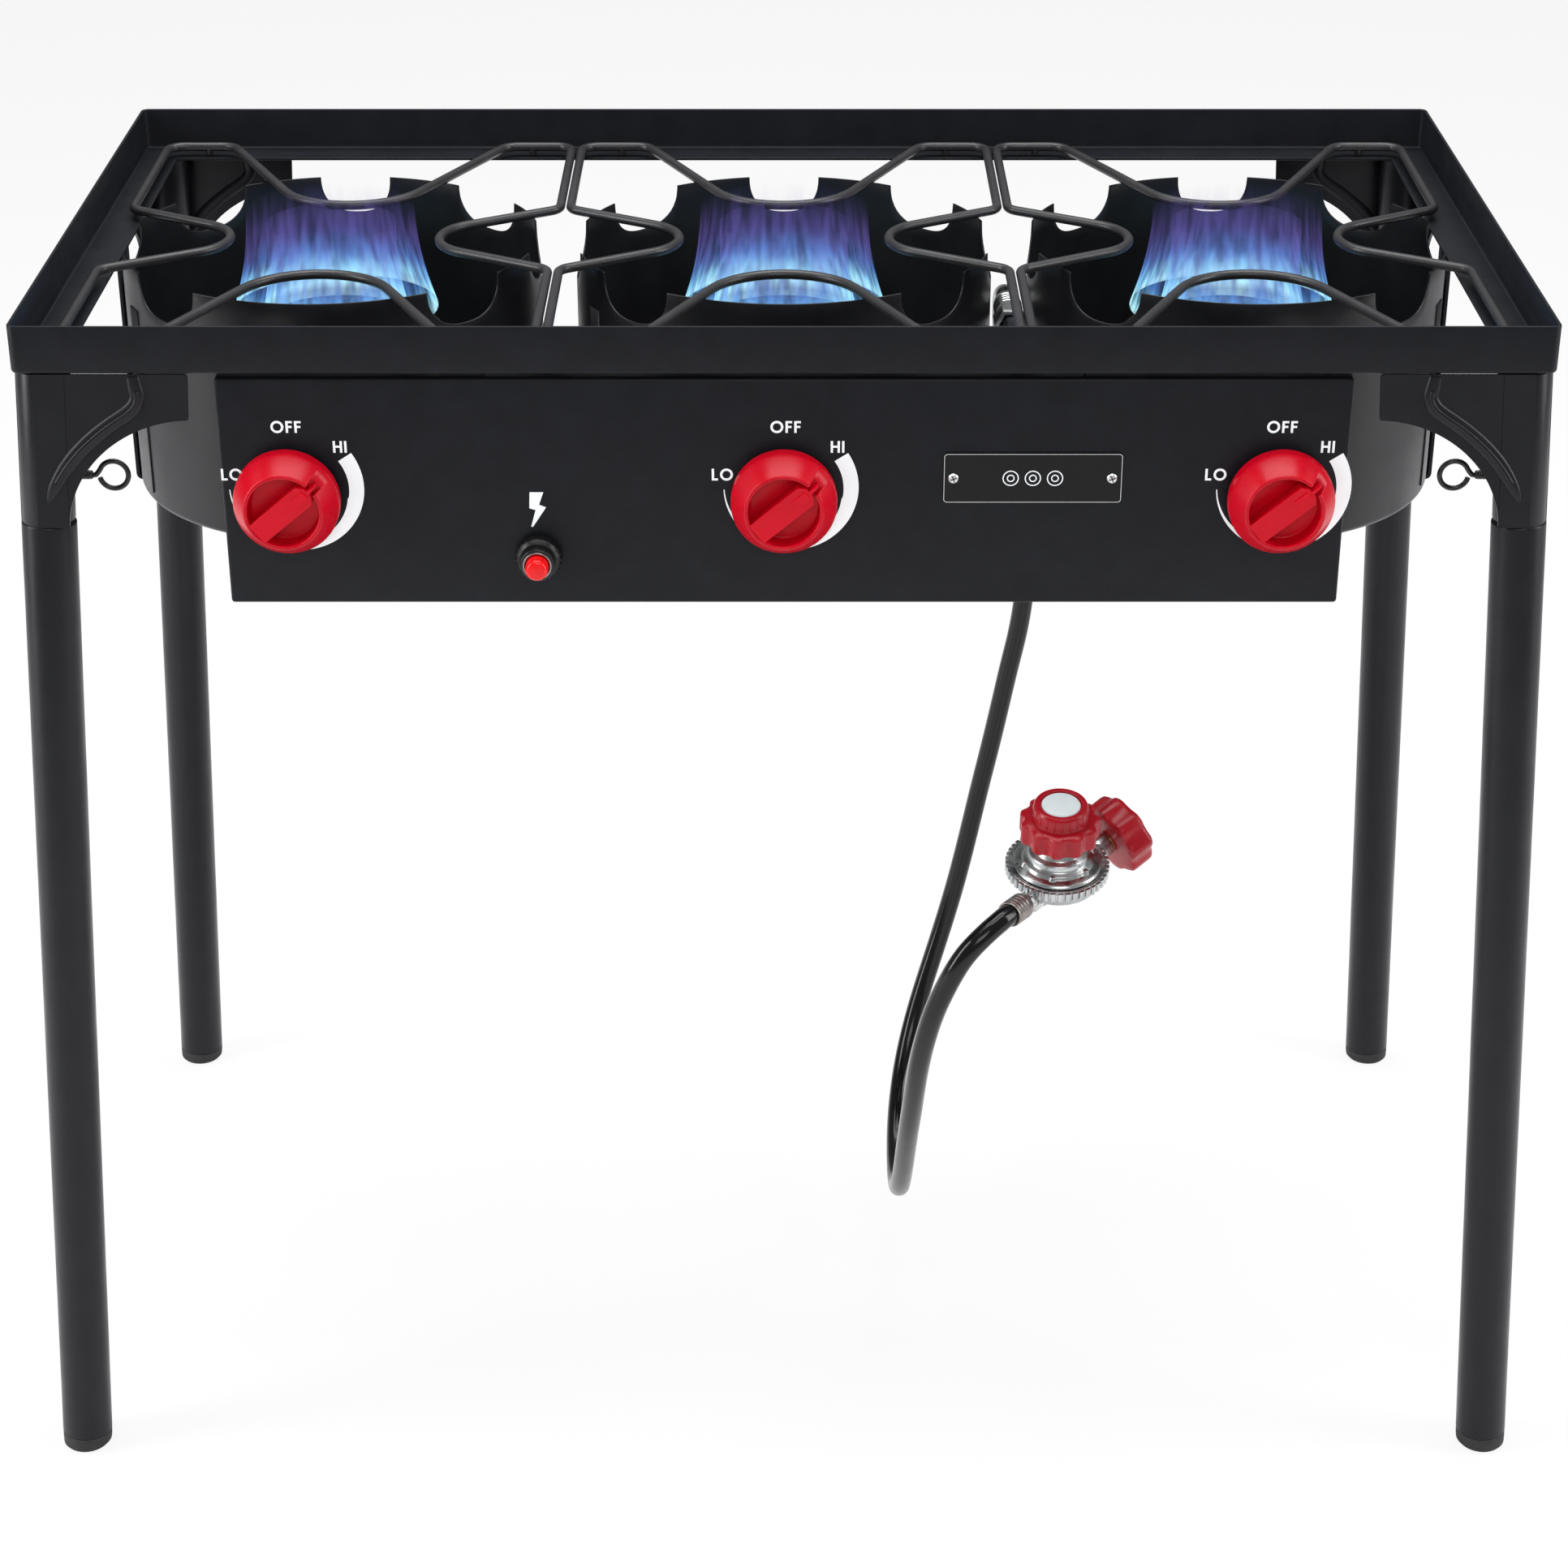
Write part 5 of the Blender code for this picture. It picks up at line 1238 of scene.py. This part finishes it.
bm = bmesh.new()
lobed_turn(bm, TANK_NUT,
           [(0.30, 0.0, 0.0), (0.80, 0.0, 0.2), (0.94, 0.0005, 0.7),
            (0.99, 0.0018, 1.0), (1.0, 0.0035, 1.0), (1.0, 0.0145, 1.0),
            (0.985, 0.0165, 1.0), (0.94, 0.0178, 0.8), (0.82, 0.0180, 0.1),
            (0.80, 0.0165, 0.0), (0.79, 0.0060, 0.0), (0.30, 0.0055, 0.0)],
           radius=0.0230, swing=0.0013, lobes=8, points=128)
piece("tank_hand_nut", bm, regulator_red, "tank_nut", "tank_connector_nut", angle=34)

bm = bmesh.new()
turn(bm, TANK_NUT,
     [(0.0020, 0.0150), (0.0020, 0.0240), (0.0050, 0.0240, 0.0008),
      (0.0088, 0.0180, 0.001), (0.0090, 0.0100, 0.0005), (0.0120, 0.0100, 0.0005),
      (0.0120, 0.0060, 0.0005), (0.0064, 0.0057), (0.0064, -0.0006),
      (0.0, -0.0006)], 40, arc=3)
piece("tank_nipple_seat", bm, brass, replaces="tank_connector_nipple")


# ---- Solids kept from the CAD
def dress(name, look):
    mesh = nodes[name].data
    mesh.materials.clear()
    mesh.materials.append(look.mat)
    shade(mesh)


dress("gas_manifold", frame_powder)
for side, col in SIDES:
    dress("gas_valve_" + side, brass)
    dress("valve_stem_" + side, brass)


# ---- Burning gas, staging only
def add_ramp(tree, stops):
    """Colour ramp from (position, colour) stops, the first at 0 and the last at 1."""
    node = add_node(tree, "ShaderNodeValToRGB")
    elements = node.color_ramp.elements
    elements[0].color = stops[0][1]
    elements[1].color = stops[-1][1]
    for position, color in stops[1:-1]:
        elements.new(position).color = color
    return node


def flame_material():
    """Streaky emission that thins out and darkens with height."""
    mat = bpy.data.materials.new("gas_flame")
    mat.use_nodes = True
    tree = mat.node_tree
    link = tree.links.new
    for node in list(tree.nodes):
        if node.type != 'OUTPUT_MATERIAL':
            tree.nodes.remove(node)
    output = tree.nodes[0]
    coords = add_node(tree, "ShaderNodeTexCoord")
    split = add_node(tree, "ShaderNodeSeparateXYZ")
    link(coords.outputs["Object"], split.inputs[0])
    height = remap(tree, split.outputs["Z"], from_min=0.680, from_max=0.748)
    mapping = add_node(tree, "ShaderNodeMapping", Scale=(1.0, 1.0, 0.10))
    link(coords.outputs["Object"], mapping.inputs["Vector"])
    noise = add_node(tree, "ShaderNodeTexNoise", Scale=170.0, Detail=1.0)
    link(mapping.outputs["Vector"], noise.inputs["Vector"])
    streak = remap(tree, noise.outputs["Fac"], from_min=0.36, from_max=0.64,
                   to_min=0.30, to_max=1.0)
    tone = add_ramp(tree, [(0.0, (0.60, 0.97, 1.0, 1)), (0.16, (0.34, 0.80, 1.0, 1)),
                           (0.34, (0.12, 0.33, 0.85, 1)), (0.58, (0.15, 0.13, 0.50, 1)),
                           (1.0, (0.12, 0.08, 0.27, 1))])
    link(height, tone.inputs["Fac"])
    # height share, opacity
    opacity = ((0.0, 0.40), (0.08, 0.95), (0.22, 0.66), (0.42, 0.34), (0.70, 0.24),
               (1.0, 0.0))
    density = add_ramp(tree, [(position, (v, v, v, 1)) for position, v in opacity])
    link(height, density.inputs["Fac"])
    product = add_node(tree, "ShaderNodeMath")
    product.operation = 'MULTIPLY'
    link(density.outputs["Color"], product.inputs[0])
    link(streak, product.inputs[1])
    glow = add_node(tree, "ShaderNodeEmission", Strength=1.30)
    link(tone.outputs["Color"], glow.inputs["Color"])
    clear = add_node(tree, "ShaderNodeBsdfTransparent")
    mix = add_node(tree, "ShaderNodeMixShader")
    link(product.outputs[0], mix.inputs["Fac"])
    link(clear.outputs[0], mix.inputs[1])
    link(glow.outputs[0], mix.inputs[2])
    link(mix.outputs[0], output.inputs["Surface"])
    return mat


# outer and inner flame: low radius, top radius, low z, top z
FLAMES = ((0.0635, 0.0515, 0.6830, 0.749), (0.0470, 0.0400, 0.6750, 0.738))
flame_mat = flame_material()
for side, col in SIDES:
    bm = bmesh.new()
    for low_r, top_r, low_z, top_z in FLAMES:
        rows = []
        for j in range(9):
            t = j / 8
            radius = low_r + (top_r - low_r) * t - 0.003 * math.sin(math.pi * t)
            z = low_z + (top_z - low_z) * t
            rows.append([bm.verts.new((
                col * BURNER_PITCH + radius * math.cos(math.tau * i / 64),
                BURNER_Y + radius * math.sin(math.tau * i / 64), z))
                for i in range(64)])
        skin(bm, rows)
    flame = new_object("flame_stage_" + side, bm, recalc=False)
    flame.data.shade_smooth()
    flame.data.materials.append(flame_mat)
    flame.visible_shadow = False
    flame.visible_diffuse = False


# ---- Floor, world, lights and camera
def floor_material():
    """Pale floor that looks nearly evenly white to the camera."""
    mat = bpy.data.materials.new("floor_pale")
    mat.use_nodes = True
    tree = mat.node_tree
    link = tree.links.new
    base = tree.nodes["Principled BSDF"]
    set_inputs(base, Base_Color=(0.86, 0.86, 0.87, 1), Roughness=0.75,
               Specular_IOR_Level=0.2)
    glow = add_node(tree, "ShaderNodeEmission", Color=(1, 1, 1, 1), Strength=1.0)
    mix = add_node(tree, "ShaderNodeMixShader")
    rays = add_node(tree, "ShaderNodeLightPath")
    share = add_node(tree, "ShaderNodeMath")
    share.operation = 'MULTIPLY'
    share.inputs[1].default_value = 0.86     # share of emission seen by the camera
    link(rays.outputs["Is Camera Ray"], share.inputs[0])
    link(share.outputs[0], mix.inputs["Fac"])
    link(base.outputs[0], mix.inputs[1])
    link(glow.outputs[0], mix.inputs[2])
    link(mix.outputs[0], tree.nodes["Material Output"].inputs["Surface"])
    return mat


bm = bmesh.new()
bmesh.ops.create_grid(bm, x_segments=1, y_segments=1, size=14.0)
floor = new_object("floor", bm, recalc=False)
floor.location.z = -0.0003
floor.data.materials.append(floor_material())

scene = bpy.context.scene
world = bpy.data.worlds.new("studio")
scene.world = world
world.use_nodes = True
tree = world.node_tree
background = tree.nodes["Background"]
set_inputs(background, Color=(0.97, 0.98, 1.0, 1))
rays = add_node(tree, "ShaderNodeLightPath")
strength = add_node(tree, "ShaderNodeMix")
strength.data_type = 'FLOAT'
set_inputs(strength, A=0.30, B=1.0)      # lighting strength, strength the camera sees
tree.links.new(rays.outputs["Is Camera Ray"], strength.inputs["Factor"])
tree.links.new(strength.outputs["Result"], background.inputs["Strength"])

# name, location, target, width, height, power in watts
LIGHTS = (("top_softbox", (0.0, 0.3, 2.9), (0, 0.0, 0.6), 2.6, 1.8, 85),
          ("left_strip", (-2.3, -0.7, 1.3), (0, 0, 0.5), 0.7, 2.2, 42),
          ("right_strip", (2.4, -0.5, 1.4), (0, 0, 0.5), 0.7, 2.2, 34),
          ("front_fill", (0.4, -3.2, 2.6), (0, 0, 0.45), 1.8, 1.2, 30))
for name, location, target, width, height, power in LIGHTS:
    light = bpy.data.lights.new(name, 'AREA')
    light.shape = 'RECTANGLE'
    light.size = width
    light.size_y = height
    light.energy = power
    lamp = bpy.data.objects.new(name, light)
    scene.collection.objects.link(lamp)
    lamp.location = location
    view = Vector(target) - Vector(location)
    lamp.rotation_euler = view.to_track_quat('-Z', 'Y').to_euler()

lens = bpy.data.cameras.new("camera")
lens.lens = 76.07
lens.sensor_width = 36.0
lens.clip_start = 0.05
camera = bpy.data.objects.new("camera", lens)
scene.collection.objects.link(camera)
camera.location = (0.0, -1.9618, 1.3590)
camera.rotation_euler = (math.radians(62.944), 0.0, 0.0)
scene.camera = camera
scene.view_settings.view_transform = 'Standard'
scene.view_settings.look = 'None'

bpy.context.view_layer.update()
